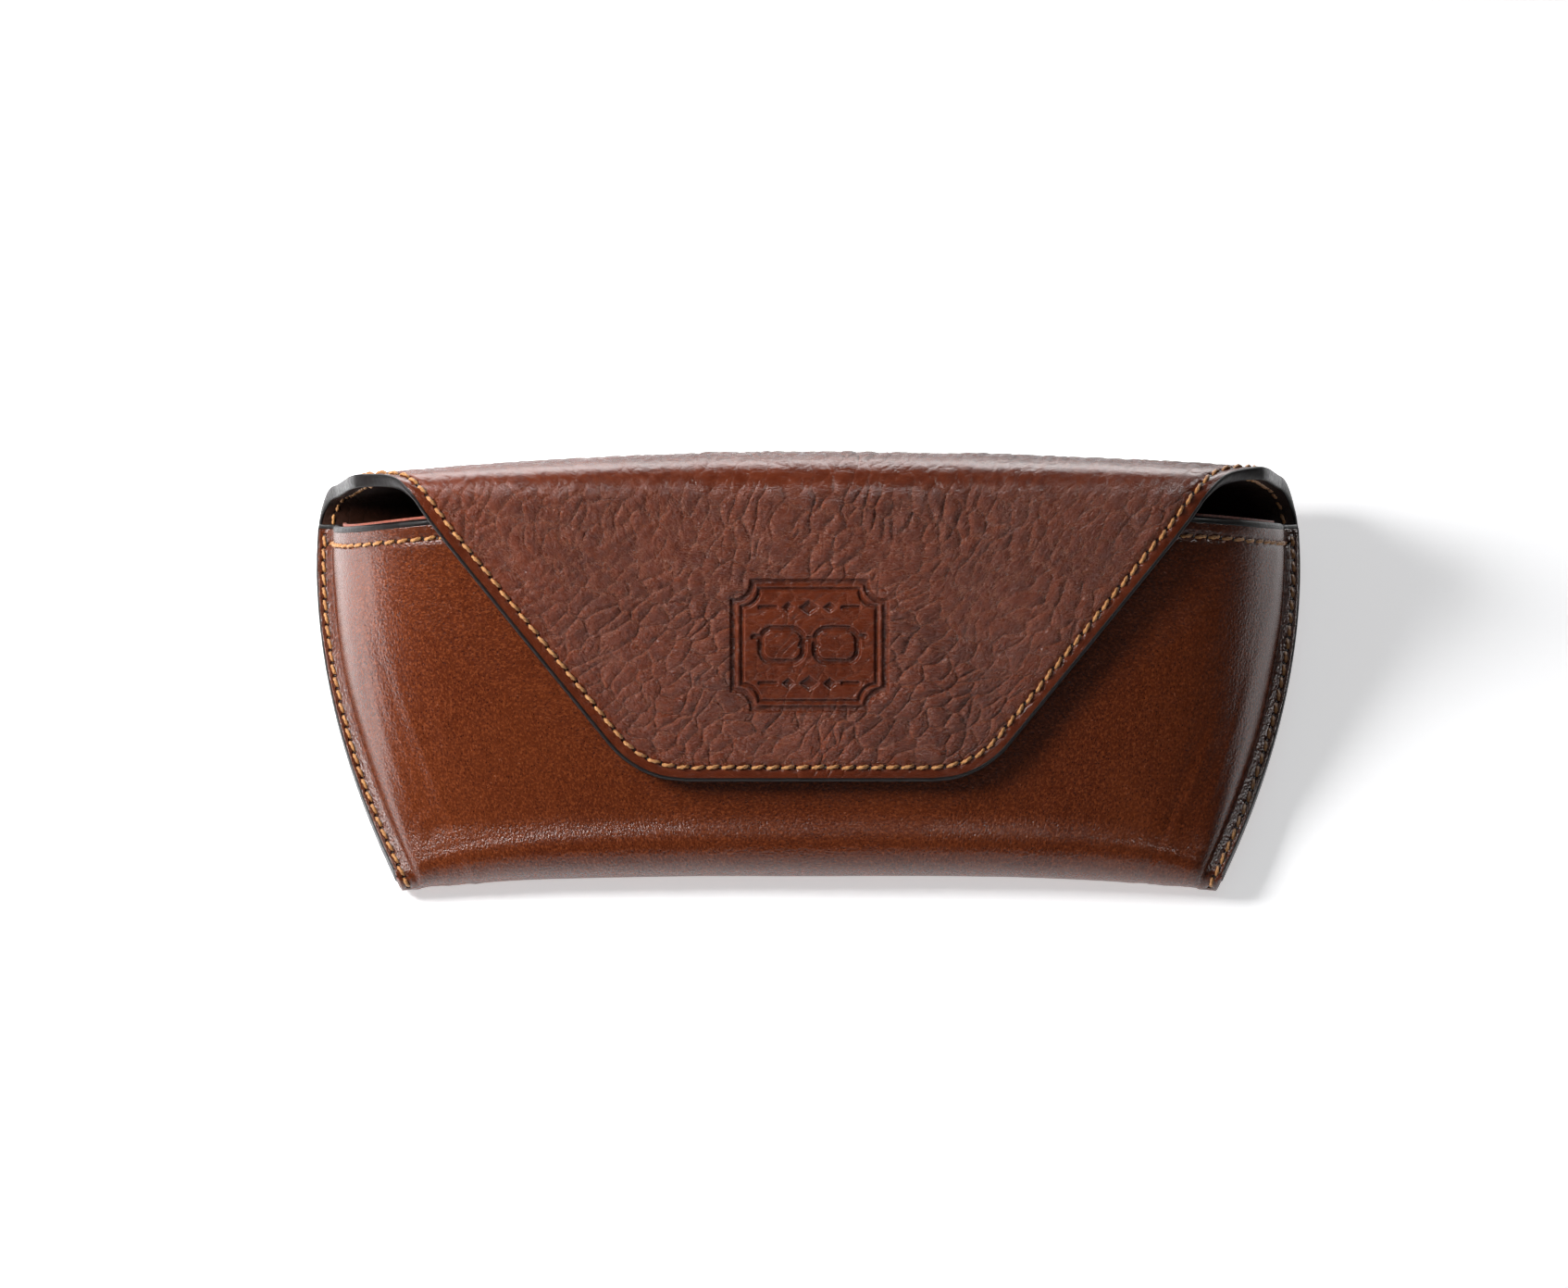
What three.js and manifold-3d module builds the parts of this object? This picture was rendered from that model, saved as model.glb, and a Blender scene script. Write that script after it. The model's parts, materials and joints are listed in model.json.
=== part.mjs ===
// A moulded leather eyeglasses case: a wedge-shaped pouch sewn up both sides, and a flap
// that folds up behind the mouth, over it and down the front. It lies on its back.
// Millimetres, +Z up, X across the case, +Y from the bottom fold towards the flap's hinge.
import * as THREE from 'three';
import { mergeVertices } from 'three/addons/utils/BufferGeometryUtils.js';
import Module from 'manifold-3d';

// ---- driving dimensions ----
const LEATHER = 1.6;             // outer hide
const LINING = 0.6;              // inner skin
const GAP = 0.3;                 // air between two skins that are glued on the real case
const MOUTH_HALF_WIDTH = 88.6;   // side seam at the mouth
const TIP_HALF_WIDTH = 71.3;     // side seam at the bottom corners
const SIDE_CURVE_LENGTH = 66;    // where the bowed side becomes straight, from the bottom
const SIDE_CURVE_POWER = 1.9;
const BRIM = 3.2;                // flat margin that the side seam is sewn through
const BRIM_LIFT = 1.0;           // the brim's underside stands this far off the table
const BRIM_EASE = 6;             // width over which the back rises to the brim
const SEAM_END = 69.5;           // side seam's length along Y
const MOUTH_FRONT = 57;          // front panel's top edge, along Y
const MOUTH_HEIGHT = 36.5;       // and its height
const MOUTH_DIP = 1.8;           // the mouth edge dips at the two shoulders
const FOLD_RADIUS = 6;           // bottom fold, at the middle
const FOLD_RECESS = 2.1;         // the bottom edge is hollow between its corners
const MOUTH_SKEW = 0.4;          // less on the right, more on the left
const BOTTOM_SQUARENESS = 4.5;   // superellipse exponent of the section at the bottom
const MOUTH_SQUARENESS = 8;      // and at the mouth
const WALL_SQUARENESS = 2.6;     // 2 would give the mouth's section an ellipse's ends
const RAMP_START = 0.08;         // share of the front that eases out of the bottom fold
const SPINE_DISTANCE = 78.3;     // spine's outer plane, from the origin corner
const SPINE_LEAN = 24;           // degrees that the spine leans over the mouth
const TONGUE_SLOPE = 27.9;       // degrees that the tongue falls along the front
const LOWER_BEND_RADIUS = 11;
const UPPER_BEND_RADIUS = 8.5;
const REST_GAP = 1.3;            // tongue to front panel
const SPINE_BOW_LEFT = 4.2;      // the spine is lower by this much at its ends
const SPINE_BOW_RIGHT = 2.8;
const SPINE_HALF_WIDTH = 80;
const DRAPE = 12;                // the flap's drop where its sides reach the side seams
const DRAPE_POWER = 7;
const FLAP_LENGTH = 107.8;       // hinge line to tip, along the leather
const TIP_CORNER_RADIUS = 17;
const STITCH_INSET = 2.1;        // seam line to edge
const SEAM_INSET = 1.6;
const THREAD_RADIUS = 0.3;
const MAGNET_RADIUS = 6;
const MAGNET_THICKNESS = 0.8;
const MAGNET_FROM_TIP = 11;

const STACK = 2 * (LEATHER + LINING + GAP) + GAP;   // the four skins of a side seam
const SKIN = LEATHER + GAP + LINING;
const LINING_TOP = LEATHER + GAP;
const BRIM_TOP = BRIM_LIFT + STACK;
const radians = THREE.MathUtils.degToRad;
const { lerp, smoothstep, clamp } = THREE.MathUtils;

// ---- the flap's side view: flat back, lower bend, spine, upper bend, tongue ----
const lean = radians(SPINE_LEAN);
const slope = radians(TONGUE_SLOPE);
const spineNormal = new THREE.Vector2(Math.cos(lean), Math.sin(lean));
const spineUp = new THREE.Vector2(-Math.sin(lean), Math.cos(lean));
const tongueDown = new THREE.Vector2(-Math.cos(slope), -Math.sin(slope));
const tongueNormal = new THREE.Vector2(-Math.sin(slope), Math.cos(slope));
const spineFoot = new THREE.Vector2(SPINE_DISTANCE / Math.cos(lean), 0);
const tonguePoint = new THREE.Vector2(MOUTH_FRONT, MOUTH_HEIGHT)
  .addScaledVector(tongueNormal, SKIN + REST_GAP);

function crossing(pointA, directionA, pointB, directionB) {
  const offset = pointB.clone().sub(pointA);
  return offset.cross(directionB) / directionA.cross(directionB);
}

const spineLength = crossing(spineFoot, spineUp, tonguePoint, tongueDown);
const lowerTurn = Math.PI / 2 + lean;
const upperTurn = Math.PI / 2 - lean + slope;
const lowerTangent = LOWER_BEND_RADIUS * Math.tan(lowerTurn / 2);
const upperTangent = UPPER_BEND_RADIUS * Math.tan(upperTurn / 2);
const lowerLength = LOWER_BEND_RADIUS * lowerTurn;
const upperLength = UPPER_BEND_RADIUS * upperTurn;
const straightLength = spineLength - lowerTangent - upperTangent;
const hingeY = spineFoot.x - lowerTangent;
const upperStart = lowerLength + straightLength;
const tongueStart = upperStart + upperLength;
const lowerCentre = new THREE.Vector2(hingeY, LOWER_BEND_RADIUS);
const upperFrom = spineFoot.clone().addScaledVector(spineUp, spineLength - upperTangent);
const upperCentre = upperFrom.clone().addScaledVector(spineNormal, -UPPER_BEND_RADIUS);
const lowerFold = lowerLength / 2;                // the flap hinges at the middle of each bend
const upperFold = upperStart + upperLength / 2;

// Point and outward normal of the leather's outer face, s millimetres past the hinge line.
function sideView(s) {
  let angle = -Math.PI / 2;
  let point;
  if (s < 0) {
    point = new THREE.Vector2(hingeY + s, 0);
  } else if (s < lowerLength) {
    angle += s / LOWER_BEND_RADIUS;
    point = lowerCentre.clone();
    point.x += LOWER_BEND_RADIUS * Math.cos(angle);
    point.y += LOWER_BEND_RADIUS * Math.sin(angle);
  } else if (s < upperStart) {
    angle = lean;
    point = upperFrom.clone().addScaledVector(spineUp, s - upperStart);
  } else if (s < tongueStart) {
    angle = lean + (s - upperStart) / UPPER_BEND_RADIUS;
    point = upperCentre.clone();
    point.x += UPPER_BEND_RADIUS * Math.cos(angle);
    point.y += UPPER_BEND_RADIUS * Math.sin(angle);
  } else {
    angle = lean + upperTurn;
    point = upperCentre.clone();
    point.x += UPPER_BEND_RADIUS * Math.cos(angle);
    point.y += UPPER_BEND_RADIUS * Math.sin(angle);
    point.addScaledVector(tongueDown, s - tongueStart);
  }
  return { point, normal: new THREE.Vector2(Math.cos(angle), Math.sin(angle)) };
}

// ---- outlines ----
function sideHalfWidth(y) {
  const left = clamp(1 - y / SIDE_CURVE_LENGTH, 0, 1);
  return MOUTH_HALF_WIDTH - (MOUTH_HALF_WIDTH - TIP_HALF_WIDTH) * left ** SIDE_CURVE_POWER;
}

// Half-width of the flap against the distance from the hinge line, to where it runs straight.
const TAPER_START = 66;
const TAPER_WIDTH = 63.4;
const SHOULDER = new THREE.SplineCurve([
  new THREE.Vector2(0, MOUTH_HALF_WIDTH),
  new THREE.Vector2(5, 88.4),
  new THREE.Vector2(10, 87.5),
  new THREE.Vector2(16, 86.1),
  new THREE.Vector2(26, 83.9),
  new THREE.Vector2(36, 81.9),
  new THREE.Vector2(43, 80.4),
  new THREE.Vector2(47, 78.4),
  new THREE.Vector2(50, 75.3),
  new THREE.Vector2(53, 72.5),
  new THREE.Vector2(57, 69.8),
  new THREE.Vector2(61.5, 66.8),
  new THREE.Vector2(TAPER_START, TAPER_WIDTH),
]).getPoints(180);
const TAPER = 0.81;              // half-width lost per millimetre towards the tip
const taperAngle = Math.atan(TAPER);
const cornerTurn = Math.PI / 2 - taperAngle;
const cornerWidth = TAPER_WIDTH - TAPER * (FLAP_LENGTH - TAPER_START);
const cornerTangent = TIP_CORNER_RADIUS * Math.tan(cornerTurn / 2);
const cornerStart = FLAP_LENGTH - cornerTangent * Math.cos(taperAngle);
const tipHalfWidth = cornerWidth - cornerTangent;

function flapHalfWidth(s) {
  if (s < TAPER_START) {
    const next = SHOULDER.findIndex((point) => point.x >= s);
    const after = SHOULDER[Math.max(next, 1)];
    const before = SHOULDER[Math.max(next, 1) - 1];
    return lerp(before.y, after.y, (s - before.x) / (after.x - before.x));
  }
  if (s < cornerStart) return TAPER_WIDTH - TAPER * (s - TAPER_START);
  const drop = s - (FLAP_LENGTH - TIP_CORNER_RADIUS);
  return tipHalfWidth + Math.sqrt(Math.max(TIP_CORNER_RADIUS ** 2 - drop ** 2, 0));
}

const halfWidthAt = (s) => (s < 0 ? sideHalfWidth(hingeY + s) : flapHalfWidth(s));

// ---- the back and the flap are one surface: across from -1 to 1, s along the side view ----
function brimLift(x, halfWidth) {
  const margin = halfWidth - Math.abs(x);
  return BRIM_LIFT * (1 - smoothstep(margin, BRIM, BRIM + BRIM_EASE));
}

// How much the flap drops towards its sides.
function drape(x) {
  const swept = Math.min(Math.abs(x) / (MOUTH_HALF_WIDTH - BRIM), 1) ** DRAPE_POWER;
  return DRAPE * (1 - Math.sqrt(1 - swept));
}

function flapInset(x, s, halfWidth) {
  const onTongue = smoothstep(s, upperStart, tongueStart);
  const bow = (x < 0 ? SPINE_BOW_LEFT : SPINE_BOW_RIGHT) * (x / SPINE_HALF_WIDTH) ** 2;
  const onSpine = smoothstep(s, 0, lowerLength) * (1 - onTongue);
  const lifted = brimLift(x, halfWidth) * (1 - smoothstep(s, 0, lowerFold));
  return bow * onSpine + drape(x) * onTongue + lifted;
}

function backSurface(across, s) {
  const halfWidth = halfWidthAt(s);
  const x = across * halfWidth;
  const { point, normal } = sideView(s);
  point.addScaledVector(normal, -flapInset(x, s, halfWidth));
  return new THREE.Vector3(x, point.x, point.y);
}

// ---- the front panel: across from -1 to 1, along 0 at the fold's underside to 1 at the mouth ----
const FOLD_SHARE = 0.22;
const BRIM_SHARE = 0.08;

function frontSurface(across, along) {
  const inner = Math.min(Math.abs(across) / (1 - BRIM_SHARE), 1);
  const onBrim = clamp((Math.abs(across) - 1 + BRIM_SHARE) / BRIM_SHARE, 0, 1);
  const t = clamp((along - FOLD_SHARE) / (1 - FOLD_SHARE), 0, 1);
  const squareness = lerp(BOTTOM_SQUARENESS, MOUTH_SQUARENESS, Math.sqrt(t));
  const sweep = (Math.PI / 2) * inner ** (squareness / 2);
  const rise = Math.cos(sweep) ** (2 / lerp(2, WALL_SQUARENESS, Math.sqrt(t)));
  const reach = Math.sin(sweep) ** (2 / squareness);
  const radius = lerp(STACK / 2, FOLD_RADIUS, rise);
  const foldX = reach * (TIP_HALF_WIDTH - BRIM) + onBrim * BRIM;
  const foldEdge = FOLD_RECESS * (1 - Math.abs(foldX / TIP_HALF_WIDTH) ** 3);
  const foldY = foldEdge + radius;
  const dip = MOUTH_DIP - MOUTH_SKEW * Math.sign(across);
  const mouthY = lerp(SEAM_END, MOUTH_FRONT, rise) - dip * 2 * rise * Math.sin(sweep);
  let y = lerp(foldY, mouthY, t);
  const floor = brimLift(foldX, TIP_HALF_WIDTH);
  const foldTop = floor + 2 * radius;
  const mouthZ = lerp(BRIM_TOP, MOUTH_HEIGHT, rise);
  const eased = t < RAMP_START ? (t * t) / (2 * RAMP_START) : t - RAMP_START / 2;
  let z = lerp(foldTop, mouthZ, eased / (1 - RAMP_START / 2));
  if (along < FOLD_SHARE) {
    const turn = Math.PI * (1 - along / FOLD_SHARE) + Math.PI / 2;
    y = foldY + radius * Math.cos(turn);
    z = floor + radius + radius * Math.sin(turn);
  }
  const halfWidth = sideHalfWidth(Math.max(y, 0));
  const x = reach * (halfWidth - BRIM) + onBrim * BRIM;
  return new THREE.Vector3(Math.sign(across) * x, y, z);
}

// Where the bottom fold hands over to the flat back, at a place across the case.
function foldEnd(across) {
  const y = FOLD_RADIUS;
  const halfWidth = sideHalfWidth(y);
  const inner = clamp((Math.abs(across) * halfWidth) / (halfWidth - BRIM), 0, 1);
  const rise = Math.sqrt(1 - inner ** BOTTOM_SQUARENESS);
  const hollow = FOLD_RECESS * (1 - Math.abs(across) ** 3);
  return hollow + lerp(STACK / 2, FOLD_RADIUS, rise) + GAP - hingeY;
}

// The back as far as the flap's fold: share runs from the bottom fold, 0, to there, 1.
function backPanelSurface(across, share) {
  return backSurface(across, lerp(foldEnd(across), lowerFold - GAP / 2, share));
}

// ---- solids from a surface ----
// A point moved off the surface along its outward normal.
function offsetPoint(surface, across, along, distance, outward, step) {
  const a0 = surface(Math.max(across - 0.004, -1), along);
  const a1 = surface(Math.min(across + 0.004, 1), along);
  const b0 = surface(across, along - step);
  const b1 = surface(across, along + step);
  const normal = a1.sub(a0).cross(b1.sub(b0)).normalize();
  return surface(across, along).addScaledVector(normal, distance * outward);
}

function toGeometry(positions, faces) {
  const geometry = new THREE.BufferGeometry();
  geometry.setAttribute('position', new THREE.Float32BufferAttribute(positions, 3));
  geometry.setIndex(faces);
  return geometry;
}

// A sheet between two depths under a surface, over a grid of stations.
function sheet(form, acrossStations, alongStations, topDepth, bottomDepth) {
  const positions = [];
  const columns = acrossStations.length;
  const rows = alongStations.length;
  for (const depth of [topDepth, bottomDepth]) {
    for (const along of alongStations) {
      for (const across of acrossStations) {
        const point = offsetPoint(form.surface, across, along, -depth, form.outward, form.step);
        positions.push(point.x, point.y, point.z);
      }
    }
  }
  const faces = [];
  const under = columns * rows;
  const quad = (a, b, c, d) => faces.push(a, b, c, a, c, d);
  for (let row = 0; row < rows - 1; row += 1) {
    for (let column = 0; column < columns - 1; column += 1) {
      const corner = row * columns + column;
      quad(corner, corner + 1, corner + columns + 1, corner + columns);
      quad(under + corner, under + corner + columns, under + corner + columns + 1, under + corner + 1);
    }
  }
  const rim = [];
  for (let column = 0; column < columns - 1; column += 1) rim.push(column);
  for (let row = 0; row < rows - 1; row += 1) rim.push(row * columns + columns - 1);
  for (let column = columns - 1; column > 0; column -= 1) rim.push((rows - 1) * columns + column);
  for (let row = rows - 1; row > 0; row -= 1) rim.push(row * columns);
  rim.forEach((from, index) => {
    const to = rim[(index + 1) % rim.length];
    quad(from, from + under, to + under, to);
  });
  if (form.outward < 0) faces.reverse();
  return toGeometry(positions, faces);
}

// A thread run: a thin rod along points of a seam line, held off the surface.
function threadRun(form, route, steps) {
  const lift = GAP + THREAD_RADIUS;
  const points = route.map(([across, along]) => (
    offsetPoint(form.surface, across, along, lift, form.outward, form.step)
  ));
  const outline = new THREE.Shape();
  outline.absarc(0, 0, THREAD_RADIUS, 0, 2 * Math.PI);
  const path = new THREE.CatmullRomCurve3(points, false, 'centripetal');
  const options = { steps, bevelEnabled: false, extrudePath: path, curveSegments: 3 };
  return new THREE.ExtrudeGeometry(outline, options);
}

function stations(from, to, count) {
  return Array.from({ length: count + 1 }, (_, index) => lerp(from, to, index / count));
}

const FRONT = { surface: frontSurface, outward: 1, step: 0.002 };
const BACK = { surface: backSurface, outward: -1, step: 0.05 };
const BACK_PANEL = { surface: backPanelSurface, outward: -1, step: 0.001 };

const wasm = await Module();
wasm.setup();

function toSolid(geometry) {
  const bare = geometry.clone();
  bare.deleteAttribute('normal');
  bare.deleteAttribute('uv');
  const merged = mergeVertices(bare, 1e-4);
  const vertProperties = new Float32Array(merged.attributes.position.array);
  const triVerts = new Uint32Array(merged.index.array);
  return new wasm.Manifold(new wasm.Mesh({ numProp: 3, vertProperties, triVerts }));
}

function fromSolid(solid) {
  const mesh = solid.getMesh();
  return toGeometry(Array.from(mesh.vertProperties), Array.from(mesh.triVerts));
}

// A disc lying in a surface, between two depths under it.
function disc(form, along, radius, topDepth, bottomDepth) {
  const top = offsetPoint(form.surface, 0, along, -topDepth, form.outward, form.step);
  const bottom = offsetPoint(form.surface, 0, along, -bottomDepth, form.outward, form.step);
  const axis = top.clone().sub(bottom);
  const geometry = new THREE.CylinderGeometry(radius, radius, axis.length(), 20);
  const turn = new THREE.Quaternion().setFromUnitVectors(new THREE.Vector3(0, 1, 0), axis.clone().normalize());
  geometry.applyQuaternion(turn);
  const middle = top.add(bottom).multiplyScalar(0.5);
  geometry.translate(middle.x, middle.y, middle.z);
  return geometry;
}

// Leather with a blind pocket in its hidden face for a magnet.
function withPocket(geometry, form, along) {
  const pocketFloor = LINING_TOP - MAGNET_THICKNESS - 2 * GAP;
  const cutter = disc(form, along, MAGNET_RADIUS + GAP, pocketFloor, LINING_TOP + GAP);
  return fromSolid(toSolid(geometry).subtract(toSolid(cutter)));
}

function magnet(form, along) {
  const top = LINING_TOP - GAP - MAGNET_THICKNESS;
  return disc(form, along, MAGNET_RADIUS, top, top + MAGNET_THICKNESS);
}

// ---- materials ----
function finish(colour, roughness, metalness = 0) {
  return new THREE.MeshStandardMaterial({ color: colour, roughness, metalness });
}
const smoothHide = finish('#5f3018', 0.4);
const grainHide = finish('#7a4430', 0.5);
const liningSkin = finish('#3b221a', 0.8);
const tanThread = finish('#d2a067', 0.6);
const steel = finish('#8d8f92', 0.35, 1);

// ---- the case ----
const model = new THREE.Group();
function add(name, geometry, material) {
  const mesh = new THREE.Mesh(geometry, material);
  mesh.name = name;
  model.add(mesh);
}

const frontColumns = [];
for (const share of [0, 0.3, 0.55, 0.7, 0.78, 0.84, 0.885, 1 - BRIM_SHARE, 1]) {
  frontColumns.push(share);
  if (share > 0) frontColumns.unshift(-share);
}
const frontRows = [...stations(0.01, FOLD_SHARE, 7), ...stations(FOLD_SHARE, 1, 9).slice(1)];
const backColumns = [-1, -0.965, -0.93, -0.89, -0.6, -0.3, 0, 0.3, 0.6, 0.89, 0.93, 0.965, 1];
const flapColumns = [-1, -0.88, -0.7, -0.5, -0.25, 0, 0.25, 0.5, 0.7, 0.88, 1];
const backFlatShare = 0.85;
const backRows = [...stations(0, backFlatShare, 6), ...stations(backFlatShare, 1, 5).slice(1)];
const spineRows = [
  ...stations(lowerFold + GAP / 2, lowerLength, 4),
  ...stations(lowerLength, upperStart, 3).slice(1),
  ...stations(upperStart, upperFold - GAP / 2, 4).slice(1),
];
const tongueRows = [
  ...stations(upperFold + GAP / 2, tongueStart, 4),
  ...stations(tongueStart, cornerStart, 5).slice(1),
  ...[0.3, 0.55, 0.75, 0.9, 1].map((share) => lerp(cornerStart, FLAP_LENGTH, share)),
];

const magnetRow = FLAP_LENGTH - MAGNET_FROM_TIP;
// The front magnet lies under the flap's: the station whose Y matches.
const magnetY = backSurface(0, magnetRow).y + SKIN * Math.sin(slope);
const frontSpan = MOUTH_FRONT - FOLD_RECESS - FOLD_RADIUS;
const frontMagnetRow = FOLD_SHARE + (1 - FOLD_SHARE) * (magnetY - FOLD_RECESS - FOLD_RADIUS) / frontSpan;

const frontLeather = sheet(FRONT, frontColumns, frontRows, 0, LEATHER);
add('front_leather', withPocket(frontLeather, FRONT, frontMagnetRow), smoothHide);
add('front_lining', sheet(FRONT, frontColumns, frontRows, LINING_TOP, SKIN), liningSkin);
add('back_leather', sheet(BACK_PANEL, backColumns, backRows, 0, LEATHER), grainHide);
add('back_lining', sheet(BACK_PANEL, backColumns, backRows, LINING_TOP, SKIN), liningSkin);
add('spine_leather', sheet(BACK, flapColumns, spineRows, 0, LEATHER), grainHide);
add('spine_lining', sheet(BACK, flapColumns, spineRows, LINING_TOP, SKIN), liningSkin);
const tongueLeather = sheet(BACK, flapColumns, tongueRows, 0, LEATHER);
add('tongue_leather', withPocket(tongueLeather, BACK, magnetRow), grainHide);
add('tongue_lining', sheet(BACK, flapColumns, tongueRows, LINING_TOP, SKIN), liningSkin);
add('front_magnet', magnet(FRONT, frontMagnetRow), steel);
add('tongue_magnet', magnet(BACK, magnetRow), steel);

const insetAcross = (s, inset) => 1 - inset / halfWidthAt(s);
const seamAcross = 1 - BRIM_SHARE * (SEAM_INSET / BRIM);
for (const [side, sign] of [['left', -1], ['right', 1]]) {
  const frontRoute = stations(FOLD_SHARE, 0.985, 12).map((along) => [sign * seamAcross, along]);
  add(`side_thread_${side}`, threadRun(FRONT, frontRoute, 24), tanThread);
  const backRoute = stations(foldEnd(1) + 1, lowerFold - 1, 14)
    .map((s) => [sign * insetAcross(s, SEAM_INSET), s]);
  add(`back_thread_${side}`, threadRun(BACK, backRoute, 28), tanThread);
  const spineRoute = stations(lowerFold + 1, upperFold - 1, 12)
    .map((s) => [sign * insetAcross(s, STITCH_INSET), s]);
  add(`spine_thread_${side}`, threadRun(BACK, spineRoute, 20), tanThread);
}

// The mouth hem: parallel to the front panel's top edge, shoulder to shoulder.
const hemAlong = 1 - STITCH_INSET / frontSpan;
const hemRoute = stations(-0.9, 0.9, 24).map((across) => [across, hemAlong]);
add('mouth_thread', threadRun(FRONT, hemRoute, 40), tanThread);

// The tongue's seam runs down one side, along the tip and up the other.
function tongueRoute() {
  const straightRows = stations(upperFold + 1, cornerStart - 1, 10);
  const inset = STITCH_INSET / Math.cos(taperAngle);
  const side = (sign) => straightRows.map((s) => [sign * insetAcross(s, inset), s]);
  const radius = TIP_CORNER_RADIUS - STITCH_INSET;
  const corner = (sign) => stations(taperAngle, Math.PI / 2, 4).map((angle) => {
    const s = FLAP_LENGTH - TIP_CORNER_RADIUS + radius * Math.sin(angle);
    const x = tipHalfWidth + radius * Math.cos(angle);
    return [(sign * x) / halfWidthAt(s), s];
  });
  return [...side(-1), ...corner(-1), ...corner(1).reverse(), ...side(1).reverse()];
}
add('tongue_thread', threadRun(BACK, tongueRoute(), 50), tanThread);

// The origin is under the middle of the whole object's footprint.
const bounds = new THREE.Box3().setFromObject(model, true);
model.position.set(0, -(bounds.min.y + bounds.max.y) / 2, -bounds.min.z);

export default model;
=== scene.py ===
"""A moulded leather eyeglasses case, closed and lying on its back.

Shapes are worked out in millimetres, with y measured from the bottom corners, and turned into the
frame's metres when a mesh is made. Two surfaces give every skin its shape: the front panel, which
wraps round the bottom fold, and the back, which runs on as the flap. Leather, linings, painted
edges and stitches are all laid out on those two.
"""
import json
import math

import bpy
import numpy as np
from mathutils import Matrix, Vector


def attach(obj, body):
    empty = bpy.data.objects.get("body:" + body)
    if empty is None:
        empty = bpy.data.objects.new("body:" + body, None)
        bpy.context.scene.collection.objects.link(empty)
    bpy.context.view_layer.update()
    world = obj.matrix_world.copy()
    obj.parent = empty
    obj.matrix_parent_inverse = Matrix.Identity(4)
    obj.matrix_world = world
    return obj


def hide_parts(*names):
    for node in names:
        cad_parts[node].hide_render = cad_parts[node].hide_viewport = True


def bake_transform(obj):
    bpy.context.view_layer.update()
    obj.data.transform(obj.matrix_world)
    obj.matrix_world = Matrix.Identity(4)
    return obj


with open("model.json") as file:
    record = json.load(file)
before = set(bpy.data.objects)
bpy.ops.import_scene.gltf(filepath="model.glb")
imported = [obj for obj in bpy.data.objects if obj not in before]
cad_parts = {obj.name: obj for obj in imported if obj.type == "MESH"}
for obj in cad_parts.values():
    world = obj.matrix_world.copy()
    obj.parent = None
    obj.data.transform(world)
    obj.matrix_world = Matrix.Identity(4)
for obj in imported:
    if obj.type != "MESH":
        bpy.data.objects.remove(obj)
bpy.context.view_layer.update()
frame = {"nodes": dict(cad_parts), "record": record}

# ---- driving dimensions, as the CAD model has them ----
LEATHER = 1.6
LINING = 0.6
GLUE = 0.04                      # between the leather and its lining
MOUTH_HALF_WIDTH = 88.6
TIP_HALF_WIDTH = 71.3
SIDE_CURVE_LENGTH = 66.0
SIDE_CURVE_POWER = 1.9
BRIM = 3.2
BRIM_LIFT = 1.0
BRIM_EASE = 6.0
STACK = 5.3                      # thickness of a sewn side: two leathers and two linings
BRIM_TOP = BRIM_LIFT + STACK
SEAM_END = 69.5
MOUTH_FRONT = 57.0
MOUTH_HEIGHT = 36.5
MOUTH_DIP = 1.8
FOLD_RADIUS = 6.0
FOLD_RECESS = 2.1
BOTTOM_SQUARENESS = 4.5
MOUTH_SQUARENESS = 8.0
WALL_SQUARENESS = 2.6            # 2 would give the mouth's section an ellipse's ends
RAMP_START = 0.08
SPINE_DISTANCE = 78.3
REST_GAP = 1.3
SKIN = 2.5                       # leather, gap and lining of the CAD model
LOWER_BEND_RADIUS = 11.0
UPPER_BEND_RADIUS = 8.5
SPINE_BOW_LEFT = 4.2
SPINE_BOW_RIGHT = 2.8
SPINE_HALF_WIDTH = 80.0
DRAPE = 12.0                     # the flap's drop where its sides reach the side seams
DRAPE_POWER = 7
MOUTH_SKEW = 0.4
FLAP_LENGTH = 107.8
TIP_CORNER_RADIUS = 17.0
STITCH_INSET = 2.1
SEAM_INSET = 1.15                # the CAD rods sit at 1.6, clear of the edge
STITCH_PITCH = 2.6
FOLD_SHARE = 0.22
BRIM_SHARE = 0.08
lean = math.radians(24.0)
slope = math.radians(27.9)

FAR = 99.0                       # a distance that stands for nothing near
CHUNK = 20000                    # places measured at a time, to hold memory down

# ---- small numeric helpers ----


def lerp(a, b, t):
    return a + (b - a) * t


def smoothstep(x, low, high):
    t = np.clip((x - low) / (high - low), 0, 1)
    return t * t * (3 - 2 * t)


def unit(vectors):
    return vectors / np.maximum(np.linalg.norm(vectors, axis=-1, keepdims=True), 1e-9)


def hashed(i, j, seed):
    """A repeatable random number from 0 to 1 for each lattice point."""
    h = (i.astype(np.int64) * 374761393 + j.astype(np.int64) * 668265263 + seed * 974711) & 0xFFFFFFFF
    h = ((h ^ (h >> 13)) * 1274126177) & 0xFFFFFFFF
    h = ((h ^ (h >> 16)) * 2246822519) & 0xFFFFFFFF
    return ((h ^ (h >> 15)) & 0xFFFFFF) / float(0xFFFFFF)


def noise(u, v, seed):
    """Smooth noise from -1 to 1 with one bump per unit."""
    i, j = np.floor(u), np.floor(v)
    a, b = u - i, v - j
    a, b = a * a * (3 - 2 * a), b * b * (3 - 2 * b)
    low = lerp(hashed(i, j, seed), hashed(i + 1, j, seed), a)
    high = lerp(hashed(i, j + 1, seed), hashed(i + 1, j + 1, seed), a)
    return 2 * lerp(low, high, b) - 1


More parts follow.
